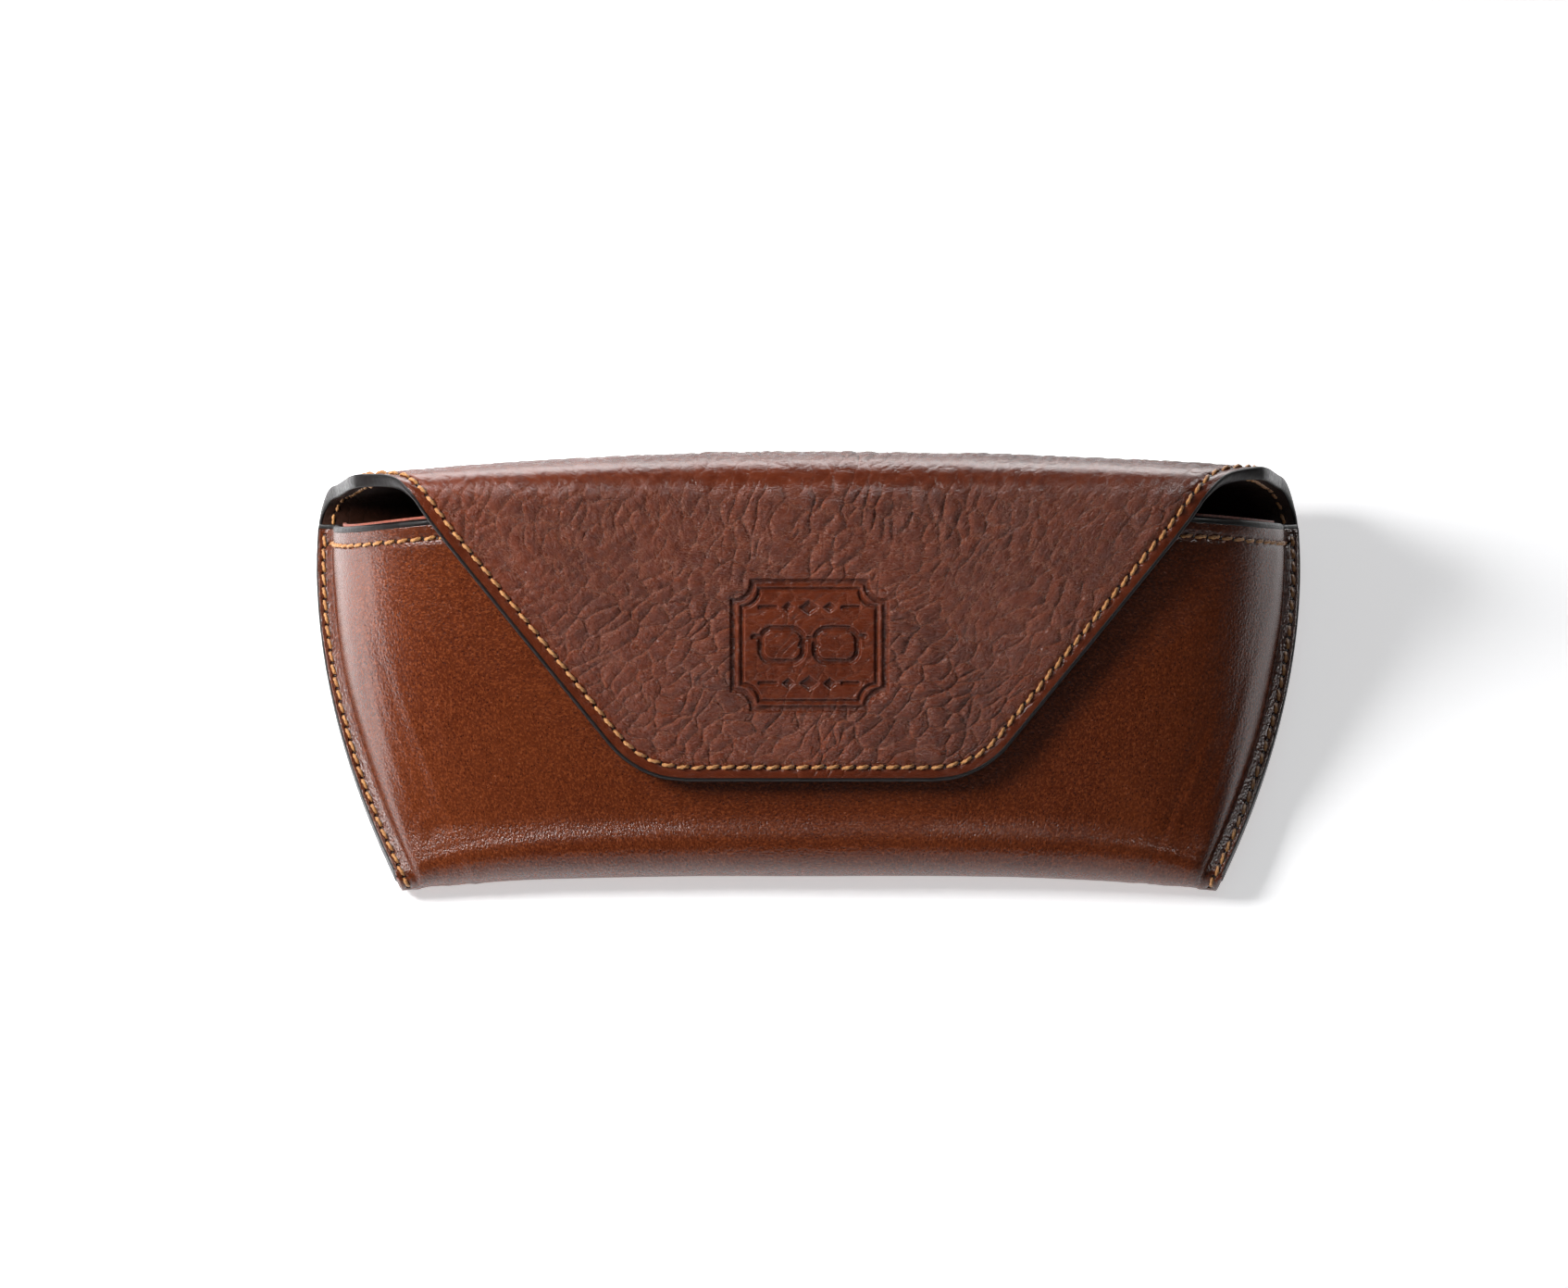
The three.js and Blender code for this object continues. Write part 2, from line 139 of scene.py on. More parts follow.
def cell_walls(u, v, seed):
    """Distance to the wall between the two nearest of a scatter of points, one per unit square."""
    i, j = np.floor(u), np.floor(v)
    best = np.full(u.shape, 9.0)
    second = np.full(u.shape, 9.0)
    for di in (-1, 0, 1):
        for dj in (-1, 0, 1):
            pu = i + di + 0.08 + 0.84 * hashed(i + di, j + dj, seed)
            pv = j + dj + 0.08 + 0.84 * hashed(i + di, j + dj, seed + 7)
            d = np.hypot(u - pu, v - pv)
            second = np.minimum(second, np.maximum(best, d))
            best = np.minimum(best, d)
    return second - best


def curve_through(points, count):
    """A Catmull-Rom curve through points, as count samples."""
    p = np.array(points, float)
    p = np.vstack([2 * p[0] - p[1], p, 2 * p[-1] - p[-2]])
    t = np.linspace(0, len(points) - 1, count)
    k = np.minimum(t.astype(int), len(points) - 2)
    f = (t - k)[:, None]
    a, b, c, d = p[k], p[k + 1], p[k + 2], p[k + 3]
    return 0.5 * (2 * b + (c - a) * f + (2 * a - 5 * b + 4 * c - d) * f**2
                  + (3 * b - a - 3 * c + d) * f**3)


def run_along(points):
    """Distance along a line of points."""
    step = np.linalg.norm(np.diff(points, axis=0), axis=1)
    return np.concatenate([[0], np.cumsum(step)])


def read_off(where, run, table):
    """Every column of a table at the places where, run being the places of its rows."""
    return np.stack([np.interp(where, run, column) for column in table.T], -1)


def even(route, step):
    """A route resampled at an even step."""
    run = run_along(route)
    return read_off(np.linspace(0, run[-1], int(run[-1] / step) + 1), run, route)


def spaced(positions, values, spacing):
    """Values whose positions are a spacing apart. spacing is one number or one per sample."""
    step = np.linalg.norm(np.diff(positions, axis=0), axis=1)
    density = step / (0.5 * (np.broadcast_to(spacing, values.shape)[1:]
                             + np.broadcast_to(spacing, values.shape)[:-1]))
    total = np.concatenate([[0], np.cumsum(density)])
    return np.interp(np.linspace(0, total[-1], int(round(total[-1])) + 1), total, values)


# ---- the flap's side view: flat back, lower bend, spine, upper bend, tongue ----
spine_normal = np.array([math.cos(lean), math.sin(lean)])
spine_up = np.array([-math.sin(lean), math.cos(lean)])
tongue_down = np.array([-math.cos(slope), -math.sin(slope)])
tongue_normal = np.array([-math.sin(slope), math.cos(slope)])
spine_foot = np.array([SPINE_DISTANCE / math.cos(lean), 0.0])
tongue_point = np.array([MOUTH_FRONT, MOUTH_HEIGHT]) + tongue_normal * (SKIN + REST_GAP)
spine_length = np.linalg.solve(np.array([spine_up, -tongue_down]).T, tongue_point - spine_foot)[0]
lower_turn = math.pi / 2 + lean
upper_turn = math.pi / 2 - lean + slope
lower_tangent = LOWER_BEND_RADIUS * math.tan(lower_turn / 2)
upper_tangent = UPPER_BEND_RADIUS * math.tan(upper_turn / 2)
lower_length = LOWER_BEND_RADIUS * lower_turn
upper_length = UPPER_BEND_RADIUS * upper_turn
hinge_y = spine_foot[0] - lower_tangent
upper_start = lower_length + spine_length - lower_tangent - upper_tangent
tongue_start = upper_start + upper_length
lower_centre = np.array([hinge_y, LOWER_BEND_RADIUS])
upper_from = spine_foot + spine_up * (spine_length - upper_tangent)
upper_centre = upper_from - spine_normal * UPPER_BEND_RADIUS
lower_fold = lower_length / 2
spine_split = lerp(lower_length, upper_start, 0.5)


def side_view(s):
    """(y, z) and outward normal of the outer face, s millimetres past the hinge line."""
    s = np.asarray(s, float)
    on_lower = (s >= 0) & (s < lower_length)
    on_upper = s >= upper_start
    turned = np.clip((s - upper_start) / UPPER_BEND_RADIUS, 0, upper_turn)
    angle = np.where(s < 0, -math.pi / 2, np.where(on_lower, s / LOWER_BEND_RADIUS - math.pi / 2, lean))
    angle = np.where(on_upper, lean + turned, angle)
    normal = np.stack([np.cos(angle), np.sin(angle)], -1)
    flat = np.stack([hinge_y + s, np.zeros_like(s)], -1)
    lower = lower_centre + LOWER_BEND_RADIUS * normal
    straight = upper_from + spine_up * (s - upper_start)[..., None]
    upper = upper_centre + UPPER_BEND_RADIUS * normal
    upper = upper + tongue_down * np.maximum(s - tongue_start, 0)[..., None]
    point = np.where((s < 0)[..., None], flat, np.where(on_lower[..., None], lower, straight))
    return np.where(on_upper[..., None], upper, point), normal


fold_joint = frame["record"]["behaviour"]["joints"][0]
Y_ORIGIN = fold_joint["pos_m"][1] * 1000 - side_view(lower_fold)[0][0]

# ---- outlines ----


def side_half_width(y):
    left = np.clip(1 - y / SIDE_CURVE_LENGTH, 0, 1)
    return MOUTH_HALF_WIDTH - (MOUTH_HALF_WIDTH - TIP_HALF_WIDTH) * left**SIDE_CURVE_POWER


# (distance past the hinge line, half-width) down the side of the spine to the tongue's straight side
SHOULDER = curve_through(
    [(0, MOUTH_HALF_WIDTH), (5, 88.4), (10, 87.5), (16, 86.1), (26, 83.9), (36, 81.9), (43, 80.4),
     (47, 78.4), (50, 75.3), (53, 72.5), (57, 69.8), (61.5, 66.8), (66, 63.4)], 300)
TAPER_START, TAPER_WIDTH = SHOULDER[-1]
TAPER = 0.81
taper_angle = math.atan(TAPER)
corner_tangent = TIP_CORNER_RADIUS * math.tan((math.pi / 2 - taper_angle) / 2)
corner_start = FLAP_LENGTH - corner_tangent * math.cos(taper_angle)
tip_half_width = TAPER_WIDTH - TAPER * (FLAP_LENGTH - TAPER_START) - corner_tangent


def half_width(s):
    """Half-width of the back and flap against the distance past the hinge line."""
    shoulder = np.interp(s, SHOULDER[:, 0], SHOULDER[:, 1])
    taper = TAPER_WIDTH - TAPER * (s - TAPER_START)
    drop = s - (FLAP_LENGTH - TIP_CORNER_RADIUS)
    corner = tip_half_width + np.sqrt(np.maximum(TIP_CORNER_RADIUS**2 - drop**2, 0))
    flap = np.where(s < TAPER_START, shoulder, np.where(s < corner_start, taper, corner))
    return np.where(s < 0, side_half_width(hinge_y + s), flap)


# ---- the two surfaces ----


def brim_lift(x, width):
    return BRIM_LIFT * (1 - smoothstep(width - np.abs(x), BRIM, BRIM + BRIM_EASE))


def drape(x):
    """How much the flap drops towards its sides."""
    swept = np.minimum(np.abs(x) / (MOUTH_HALF_WIDTH - BRIM), 1)**DRAPE_POWER
    return DRAPE * (1 - np.sqrt(1 - swept))


def back_surface(across, s):
    across, s = np.broadcast_arrays(np.asarray(across, float), np.asarray(s, float))
    width = half_width(s)
    x = across * width
    on_tongue = smoothstep(s, upper_start, tongue_start)
    bow = np.where(x < 0, SPINE_BOW_LEFT, SPINE_BOW_RIGHT) * (x / SPINE_HALF_WIDTH)**2
    inset = bow * smoothstep(s, 0, lower_length) * (1 - on_tongue) + drape(x) * on_tongue
    inset = inset + brim_lift(x, width) * (1 - smoothstep(s, 0, lower_fold))
    point, normal = side_view(s)
    point = point - normal * inset[..., None]
    return np.stack([x, point[..., 0], point[..., 1]], -1)


def fold_end(across):
    """Distance past the hinge line, a negative one, where the bottom fold hands over to the back."""
    width = side_half_width(FOLD_RADIUS)
    inner = np.clip(np.abs(across) * width / (width - BRIM), 0, 1)
    rise = np.sqrt(1 - inner**BOTTOM_SQUARENESS)
    return FOLD_RECESS * (1 - np.abs(across)**3) + lerp(STACK / 2, FOLD_RADIUS, rise) - hinge_y


def front_surface(across, along):
    across, along = np.broadcast_arrays(np.asarray(across, float), np.asarray(along, float))
    inner = np.minimum(np.abs(across) / (1 - BRIM_SHARE), 1)
    on_brim = np.clip((np.abs(across) - 1 + BRIM_SHARE) / BRIM_SHARE, 0, 1)
    t = np.clip((along - FOLD_SHARE) / (1 - FOLD_SHARE), 0, 1)
    squareness = lerp(BOTTOM_SQUARENESS, MOUTH_SQUARENESS, np.sqrt(t))
    sweep = math.pi / 2 * inner**(squareness / 2)
    rise = np.cos(sweep)**(2 / lerp(2, WALL_SQUARENESS, np.sqrt(t)))
    reach = np.sin(sweep)**(2 / squareness)
    radius = lerp(STACK / 2, FOLD_RADIUS, rise)
    fold_x = reach * (TIP_HALF_WIDTH - BRIM) + on_brim * BRIM
    fold_y = FOLD_RECESS * (1 - (fold_x / TIP_HALF_WIDTH)**3) + radius
    mouth_y = lerp(SEAM_END, MOUTH_FRONT, rise)
    mouth_y = mouth_y + (MOUTH_SKEW * np.sign(across) - MOUTH_DIP) * 2 * rise * np.sin(sweep)
    floor = brim_lift(fold_x, TIP_HALF_WIDTH)
    eased = np.where(t < RAMP_START, t * t / (2 * RAMP_START), t - RAMP_START / 2) / (1 - RAMP_START / 2)
    y = lerp(fold_y, mouth_y, t)
    z = lerp(floor + 2 * radius, lerp(BRIM_TOP, MOUTH_HEIGHT, rise), eased)
    turn = math.pi * (1 - along / FOLD_SHARE) + math.pi / 2
    folded = along < FOLD_SHARE
    y = np.where(folded, fold_y + radius * np.cos(turn), y)
    z = np.where(folded, floor + radius + radius * np.sin(turn), z)
    x = reach * (side_half_width(np.maximum(y, 0)) - BRIM) + on_brim * BRIM
    return np.stack([np.sign(across) * x, y, z], -1)


def grid_normals(points, outward):
    return outward * unit(np.cross(np.gradient(points, axis=1), np.gradient(points, axis=0)))


def eased_across(points, passes):
    """The same grid with its hard lines from end to end softened."""
    soft = points.copy()
    for _ in range(passes):
        soft[:, 1:-1] = (soft[:, :-2] + 2 * soft[:, 1:-1] + soft[:, 2:]) / 4
    return soft


# ---- grids: columns across the case, rows along the leather ----
COARSE, MEDIUM, FINE = 0.45, 0.34, 0.2
STAMP_ROW = 84.5                 # the stamped mark's middle, past the hinge line
STAMP_HALF = 14.5
SOFTENING = 12                   # passes over the front's hard lines
JOIN_ROW = 0.02                  # a thin row beside the join across the spine keeps it out of sight
fine_across = np.linspace(-1, 1, 4001)
fine_along = np.linspace(0, 1, 2001)


def centre_line(surface, values):
    return surface(np.zeros_like(values), values)


front_columns = spaced(front_surface(fine_across, 0.75), fine_across, COARSE)
front_rows = spaced(centre_line(front_surface, fine_along), fine_along, COARSE)
FRONT = eased_across(front_surface(front_columns[None, :], front_rows[:, None]), SOFTENING)
FRONT_NORMALS = grid_normals(FRONT, 1)

wide = fine_across * SPINE_HALF_WIDTH
stamp_spacing = np.where(np.abs(wide) < STAMP_HALF, FINE, MEDIUM)
back_columns = spaced(wide[:, None], fine_across, COARSE)
root_length = spine_split - fold_end(0)
root_rows = spaced(fine_along[:, None] * root_length, fine_along, COARSE)
root_rows = np.insert(root_rows, -1, 1 - JOIN_ROW / root_length)
ROOT_S = lerp(fold_end(back_columns)[None, :], spine_split, root_rows[:, None])
ROOT = back_surface(back_columns[None, :], ROOT_S)
ROOT_NORMALS = grid_normals(ROOT, -1)

flap_columns = spaced(wide[:, None], fine_across, stamp_spacing)
flap_line = np.linspace(spine_split, FLAP_LENGTH, 2001)
flap_spacing = np.where(np.abs(flap_line - STAMP_ROW) < STAMP_HALF, FINE, MEDIUM)
flap_rows = spaced(centre_line(back_surface, flap_line), flap_line, flap_spacing)
flap_rows = np.insert(flap_rows, 1, spine_split + JOIN_ROW)
FLAP_S = np.broadcast_to(flap_rows[:, None], (len(flap_rows), len(flap_columns)))
FLAP = back_surface(flap_columns[None, :], FLAP_S)
FLAP_NORMALS = grid_normals(FLAP, -1)

# ---- seam lines ----


def on_back(route):
    """Points and normals for (x, s) places on the back and flap."""
    route = np.asarray(route, float)
    x, s = route[:, 0], route[:, 1]
    across = x / half_width(s)
    point = back_surface(across, s)
    du = back_surface(across + 0.004, s) - back_surface(across - 0.004, s)
    ds = back_surface(across, s + 0.05) - back_surface(across, s - 0.05)
    return point, -unit(np.cross(du, ds))


def on_front(across, along):
    """Points and normals for places on the front panel, read off its softened grid."""
    column = np.interp(across, front_columns, np.arange(len(front_columns)))
    row = np.interp(along, front_rows, np.arange(len(front_rows)))
    c = np.clip(column.astype(int), 0, len(front_columns) - 2)
    r = np.clip(row.astype(int), 0, len(front_rows) - 2)
    fc, fr = (column - c)[:, None], (row - r)[:, None]
    sampled = []
    for grid in (FRONT, FRONT_NORMALS):
        near = lerp(grid[r, c], grid[r, c + 1], fc)
        far = lerp(grid[r + 1, c], grid[r + 1, c + 1], fc)
        sampled.append(lerp(near, far, fr))
    return sampled[0], unit(sampled[1])


OUTLINE_START = -70              # before the hinge line


def flap_outline(inset):
    """(x, s) from the back's left side, round the flap's tip, to the right side."""
    s = np.linspace(OUTLINE_START, corner_start, 900, endpoint=False)
    side = np.stack([-half_width(s), s], -1)
    angle = np.linspace(taper_angle, math.pi / 2, 60)
    corner = np.stack([-(tip_half_width + TIP_CORNER_RADIUS * np.cos(angle)),
                       FLAP_LENGTH - TIP_CORNER_RADIUS + TIP_CORNER_RADIUS * np.sin(angle)], -1)
    tip = np.stack([np.linspace(-tip_half_width, 0, 60)[1:], np.full(59, FLAP_LENGTH)], -1)
    left = np.vstack([side, corner, tip])
    tangent = unit(np.gradient(left, axis=0))
    left = left + inset * np.stack([tangent[:, 1], -tangent[:, 0]], -1)
    right = (left * [-1, 1])[::-1]
    return np.vstack([left, right[1:]])


OUTLINE_STEP = 0.5
SEAM_STEP = 0.6
HEM_SHARE = 0.036                # the hem's distance from the mouth, as a share of the front's length
outline = even(flap_outline(0.0), OUTLINE_STEP)
inset_line = even(flap_outline(STITCH_INSET), OUTLINE_STEP)
perimeter = inset_line[inset_line[:, 1] > -0.5]
seam_share = 1 - BRIM_SHARE * SEAM_INSET / BRIM
side_along = np.linspace(0.12, 0.985, 400)
hem_across = np.linspace(-0.955, 0.955, 1200)


class Seam:
    """One row of stitches along points on a skin."""

    def __init__(self, points, normals):
        self.points, self.normals = points, normals
        self.length = run_along(points)
        self.count = max(int(round(self.length[-1] / STITCH_PITCH)), 1)
        self.pitch = self.length[-1] / self.count

    def at(self, where):
        return (read_off(where, self.length, self.points),
                unit(read_off(where, self.length, self.normals)))

    def near(self, places):
        """For places in space, how many stitches along the row they are and how far off it."""
        flat = places.reshape(-1, 3)
        run = np.zeros(len(flat))
        off = np.full(len(flat), FAR)
        low, high = self.points.min(0) - 6, self.points.max(0) + 6
        close = np.nonzero(np.all((flat > low) & (flat < high), axis=1))[0]
        a, ab = self.points[:-1], np.diff(self.points, axis=0)
        for start in range(0, len(close), CHUNK):
            some = close[start:start + CHUNK]
            p = flat[some]
            gap = ((p[:, None, :] - (a + ab / 2)[None])**2).sum(-1)
            k = gap.argmin(1)
            t = np.clip(((p - a[k]) * ab[k]).sum(1) / (ab[k]**2).sum(1), 0, 1)
            off[some] = np.linalg.norm(p - a[k] - ab[k] * t[:, None], axis=1)
            run[some] = (self.length[k] + t * (self.length[k + 1] - self.length[k])) / self.pitch
        return run.reshape(places.shape[:-1]), off.reshape(places.shape[:-1])


def seam_along(points, normals):
    both = even(np.hstack([points, normals]), SEAM_STEP)
    return Seam(both[:, :3], unit(both[:, 3:]))


side_seams = {}
back_seams = {}
root_seams = {}
for side, sign in (("left", -1), ("right", 1)):
    side_seams[side] = seam_along(*on_front(np.full(len(side_along), sign * seam_share), side_along))
    s = np.linspace(fold_end(1.0) + 1.2, 0, 300)
    x = sign * (half_width(s) - SEAM_INSET)
    back_seams[side] = seam_along(*on_back(np.stack([x, s], -1)))
    root = perimeter[(perimeter[:, 0] * sign > 0) & (perimeter[:, 1] <= spine_split)]
    root_seams[side] = seam_along(*on_back(root[::-sign]))
flap_seam = seam_along(*on_back(perimeter[perimeter[:, 1] >= spine_split]))
hem_seam = seam_along(*on_front(hem_across, np.full(len(hem_across), 1 - HEM_SHARE)))

# ---- relief of the leather, in millimetres ----
LOW_GRAIN_ANGLE = math.radians(36)      # the way the creases run near the tongue's tip
HIGH_GRAIN_ANGLE = math.radians(64)     # and under the upper bend
PEBBLE = (4.6, 2.5)              # length and width of the large pebbles,
SMALL_PEBBLE = (2.0, 0.95)       # of the small ones on them
FOLD = (7.5, 2.4)                # and of the soft folds under them
PEBBLE_RISE = 0.50
SMALL_RISE = 0.06
FOLD_DEPTH = 0.14
MEAN_GRAIN = 0.3                 # taken off, so that the grain lies about the drawn surface


def pebbles(u, v, angle, seed):
    """Tumbled grain with creases along angle: its height, and the distance to its creases."""
    along = u * math.cos(angle) - v * math.sin(angle)
    over = u * math.sin(angle) + v * math.cos(angle)
    large = cell_walls(along / PEBBLE[0], over / PEBBLE[1], seed) * PEBBLE[1]
    small = cell_walls(along / SMALL_PEBBLE[0] + 40, over / SMALL_PEBBLE[1], seed + 1) * SMALL_PEBBLE[1]
    folds = 1 - np.abs(noise(along / FOLD[0], over / FOLD[1], seed + 2))
    depth = 0.75 + 0.45 * noise(u / 8, v / 8, seed + 3)
    height = depth * (PEBBLE_RISE * (1 - np.exp(-large / 0.9)) - FOLD_DEPTH * folds**3)
    return height + SMALL_RISE * (1 - np.exp(-small / 0.35)), large, small


def grain(u, v):
    """Height of the flap's grain at u across and v along, and the distance to its creases."""
    wu = u + 1.7 * noise(u / 8, v / 8, 11) + 0.6 * noise(u / 2.6, v / 2.6, 12)
    wv = v + 1.7 * noise(u / 8, v / 8, 13) + 0.6 * noise(u / 2.6, v / 2.6, 14)
    low, high = pebbles(wu, wv, LOW_GRAIN_ANGLE, 21), pebbles(wu, wv, HIGH_GRAIN_ANGLE, 41)
    share = smoothstep(v + 7 * noise(u / 14, v / 14, 15), 62, 82)
    height, large, small = (lerp(b, a, share) for a, b in zip(low, high))
    rolling = 0.10 * noise(u / 5.5, v / 5.5, 24) + 0.16 * noise(u / 15, v / 13, 25)
    return height - MEAN_GRAIN + rolling + 0.02 * noise(u / 0.9, v / 0.9, 26), large, small


def stroke(distance, width):
    return distance - width / 2


def plaque(x, y, half_x, half_y, notch):
    """Signed distance to a rectangle with scooped corners."""
    box = np.maximum(np.abs(x) - half_x, np.abs(y) - half_y)
    scoop = notch - np.hypot(np.abs(x) - half_x, np.abs(y) - half_y)
    return np.maximum(box, scoop)


def rounded_box(x, y, half_x, half_y, radius):
    qx, qy = np.abs(x) - half_x + radius, np.abs(y) - half_y + radius
    outside = np.hypot(np.maximum(qx, 0), np.maximum(qy, 0))
    return outside + np.minimum(np.maximum(qx, qy), 0) - radius


def diamond(x, y, half_x, half_y):
    return (np.abs(x) / half_x + np.abs(y) / half_y - 1) * min(half_x, half_y) * 0.75


PLAQUE = (13.2, 11.0, 3.4)       # half-width, half-height and scoop of the stamped plaque
PLAQUE_DEPTH = 0.10
STAMP_DEPTH = 0.42               # of its pressed lines


def stamp_distance(x, y):
    """Distance to the nearest pressed line of a plain plaque with a pair of spectacles in it."""
    lens_x = np.abs(x) - 4.7
    shapes = [
        stroke(np.abs(plaque(x, y, *PLAQUE)), 0.75),
        stroke(np.abs(plaque(x, y, *(0.885 * size for size in PLAQUE))), 0.4),
        stroke(np.abs(rounded_box(lens_x, y, 3.7, 2.9, 2.1)), 0.8),
        stroke(np.abs(np.hypot(x, y + 0.4) - 1.5) + np.where(y + 0.1 < 0, 9, 0), 0.7),
        rounded_box(np.abs(x) - 9.1, y - 1.5, 0.9, 0.35, 0.3),
        diamond(np.abs(x), np.abs(y) - 6.6, 1.5, 1.1),
        diamond(np.abs(x) - 3.6, np.abs(y) - 6.6, 0.9, 0.7),
        rounded_box(np.abs(x) - 7.2, np.abs(y) - 6.6, 1.6, 0.2, 0.2),
    ]
    return np.minimum.reduce(shapes)


CHANNEL_DEPTH = 0.17             # the leather is pulled down along a row of stitches
CHANNEL_REACH = 0.75
HOLE_DEPTH = 0.26                # and further at each needle hole


def seam_relief(places, seams):
    """How far the rows of stitches pull a surface down, and the nearest row's run and distance."""
    run = np.zeros(places.shape[:-1])
    off = np.full(places.shape[:-1], FAR)
    for seam in seams:
        new_run, new_off = seam.near(places)
        closer = new_off < off
        run, off = np.where(closer, new_run, run), np.minimum(off, new_off)
    to_hole = np.abs(run - np.round(run)) * STITCH_PITCH
    channel = CHANNEL_DEPTH * np.exp(-(off / CHANNEL_REACH)**2)
    hole = HOLE_DEPTH * np.exp(-((to_hole / 0.36)**2 + (off / 0.38)**2))
    return -channel - hole, run, off


STRETCH_RISE = 0.09
CORNER_FOLD_DEPTH = 0.12


def front_relief(points, seams):
    """Stretch lines down the side walls and a few soft folds at the bottom corners."""
    x, y = points[..., 0], points[..., 1]
    relief, run, off = seam_relief(points, seams)
    inward = side_half_width(np.maximum(y, 0)) - np.abs(x)
    wall = smoothstep(inward, 3.5, 6) * (1 - smoothstep(inward, 12, 20))
    side = np.sign(x)
    streak = noise(inward / 1.7 + y / 30 + 9 * side, y / 19, 32)
    streak = streak + 0.5 * noise(inward / 0.8 + 5 * side, y / 10, 35)
    relief = relief + STRETCH_RISE * streak * wall * (0.4 + 0.6 * smoothstep(y, 45, 15))
    away = np.hypot(inward - 4, y - 4)
    bearing = np.arctan2(y - 4, inward - 4) + 0.25 * noise(away / 7, y / 9 + 3 * side, 31)
    fold = np.exp(-((bearing - 0.5) / 0.16)**2) + 0.7 * np.exp(-((bearing - 0.98) / 0.14)**2)
    relief = relief - CORNER_FOLD_DEPTH * fold * np.exp(-((away - 9) / 6)**2)
    relief = relief + 0.12 * noise(x / 17, y / 13, 33) + 0.03 * noise(x / 5, y / 5, 34)
    return relief, run, off


# ---- meshes ----


def make_mesh(name, points_mm, faces, materials, attributes=(), kinds=0, smooth=True):
    """A piece from points and faces. kinds, each face's material, and smooth are one value for all
    faces or one each."""
    mesh = bpy.data.meshes.new(name)
    points = np.asarray(points_mm, float) + [0, Y_ORIGIN, 0]
    mesh.from_pydata((points * 0.001).tolist(), [], faces)
    for material in materials:
        mesh.materials.append(material)
    mesh.polygons.foreach_set("material_index", np.full(len(faces), kinds, np.int32))
    mesh.polygons.foreach_set("use_smooth", np.full(len(faces), smooth, bool))
    for label, values in attributes:
        layer = mesh.attributes.new(label, "FLOAT_VECTOR", "POINT")
        layer.data.foreach_set("vector", np.asarray(values, np.float32).ravel())
    mesh.update()
    piece = bpy.data.objects.new(name, mesh)
    bpy.context.scene.collection.objects.link(piece)
    return piece


def skin(name, outer, inner, outward, materials, attributes):
    """A closed skin between two grids, cut square at its edges. outward is 1 or -1, whichever
    turns the faces out; materials are the outer face's, the inner face's and the edge's."""
    rows, columns = outer.shape[:2]
    count = rows * columns
    index = np.arange(count).reshape(rows, columns)
    quads = np.stack([index[:-1, :-1], index[:-1, 1:], index[1:, 1:], index[1:, :-1]], -1).reshape(-1, 4)
    loop = np.concatenate([index[0, :-1], index[:-1, -1], index[-1, :0:-1], index[:0:-1, 0]])
    rim = np.stack([loop, loop + count, np.roll(loop, -1) + count, np.roll(loop, -1)], -1)
    if outward < 0:
        quads, rim = quads[:, ::-1], rim[:, ::-1]
    faces = np.vstack([quads, quads[:, ::-1] + count, rim])
    kinds = np.repeat([0, 1, 2], [len(quads), len(quads), len(rim)])
    points = np.vstack([outer.reshape(-1, 3), inner.reshape(-1, 3)])
    values = [(label, np.tile(grid.reshape(-1, 3), (2, 1))) for label, grid in attributes]
    return make_mesh(name, points, faces.tolist(), materials, values, kinds, kinds < 2)


def tube(sections, sides):
    """Faces of a closed tube of rings of points, with its two ends last."""
    index = np.arange(sections * sides).reshape(sections, sides)
    after = np.roll(index, -1, axis=1)
    quads = np.stack([index[:-1], after[:-1], after[1:], index[1:]], -1).reshape(-1, 4)
    return quads.tolist() + [index[0, ::-1].tolist(), index[-1].tolist()]


COAT_STEPS = 10
COAT_LAP = 0.22                  # how far the paint laps over a skin's face
COAT_FILM = 0.05
COAT_ROOT = 0.12


def coat(name, top, under, normals, aside, bulge, lap=COAT_LAP):
    """A painted edge: a rounded strip along a cut edge, from its upper corner to its lower one."""
    section = [top - aside * lap + normals * COAT_FILM * 0.4,
               top - aside * lap * 0.4 + normals * COAT_FILM]
    for angle in np.linspace(0, math.pi, COAT_STEPS):
        round_off = math.sin(angle)**0.75
        section.append(lerp(top, under, (1 - math.cos(angle)) / 2) + aside * bulge * round_off
                       + normals * COAT_FILM * math.cos(angle))
    section.append(under - aside * lap * 0.4 - normals * COAT_FILM)
    section.append(under - aside * lap - normals * COAT_FILM * 0.4)
    section.append(under - aside * COAT_ROOT + normals * COAT_FILM)
    section.append(top - aside * COAT_ROOT - normals * COAT_FILM)
    grid = np.stack(section, 1)
    rows, columns = grid.shape[:2]
    faces = tube(rows, columns)
    volume = np.sum(np.cross(grid[0, 3] - grid[0, 0], grid[0, 6] - grid[0, 3]) * (grid[1, 3] - grid[0, 3]))
    if volume > 0:
        faces = [face[::-1] for face in faces]
    smooth = np.arange(len(faces)) < len(faces) - 2
    run, around = np.broadcast_arrays(run_along(top)[:, None], np.arange(columns)[None, :] * 0.3)
    place = np.stack([run, around, run * 0], -1).reshape(-1, 3)
    return make_mesh(name, grid.reshape(-1, 3), faces, [PAINT], [("hide", place)], smooth=smooth)


def border(grid, normals, place, depth):
    """Upper and lower corners, normals and outward direction along part of a grid's border.
    place is a list of rows and a list of columns."""
    top, normal = grid[place], normals[place]
    aside = unit(np.cross(unit(np.gradient(top, axis=0)), normal))
    return top, top - normal * depth, normal, aside


# ---- stitches ----
THREAD_RADIUS = 0.31
STITCH_MARGIN = 0.05             # share of the pitch left clear at each end of a stitch
STITCH_SLANT = 0.2               # sideways, off the seam line at each end
STITCH_ARCH = 0.62
STITCH_ROOT = 0.55               # depth of a stitch's ends in the leather
PLY_TURNS = 1.15
PLY_DEPTH = 0.2
THREAD_SIDES = 10
THREAD_SECTIONS = 11


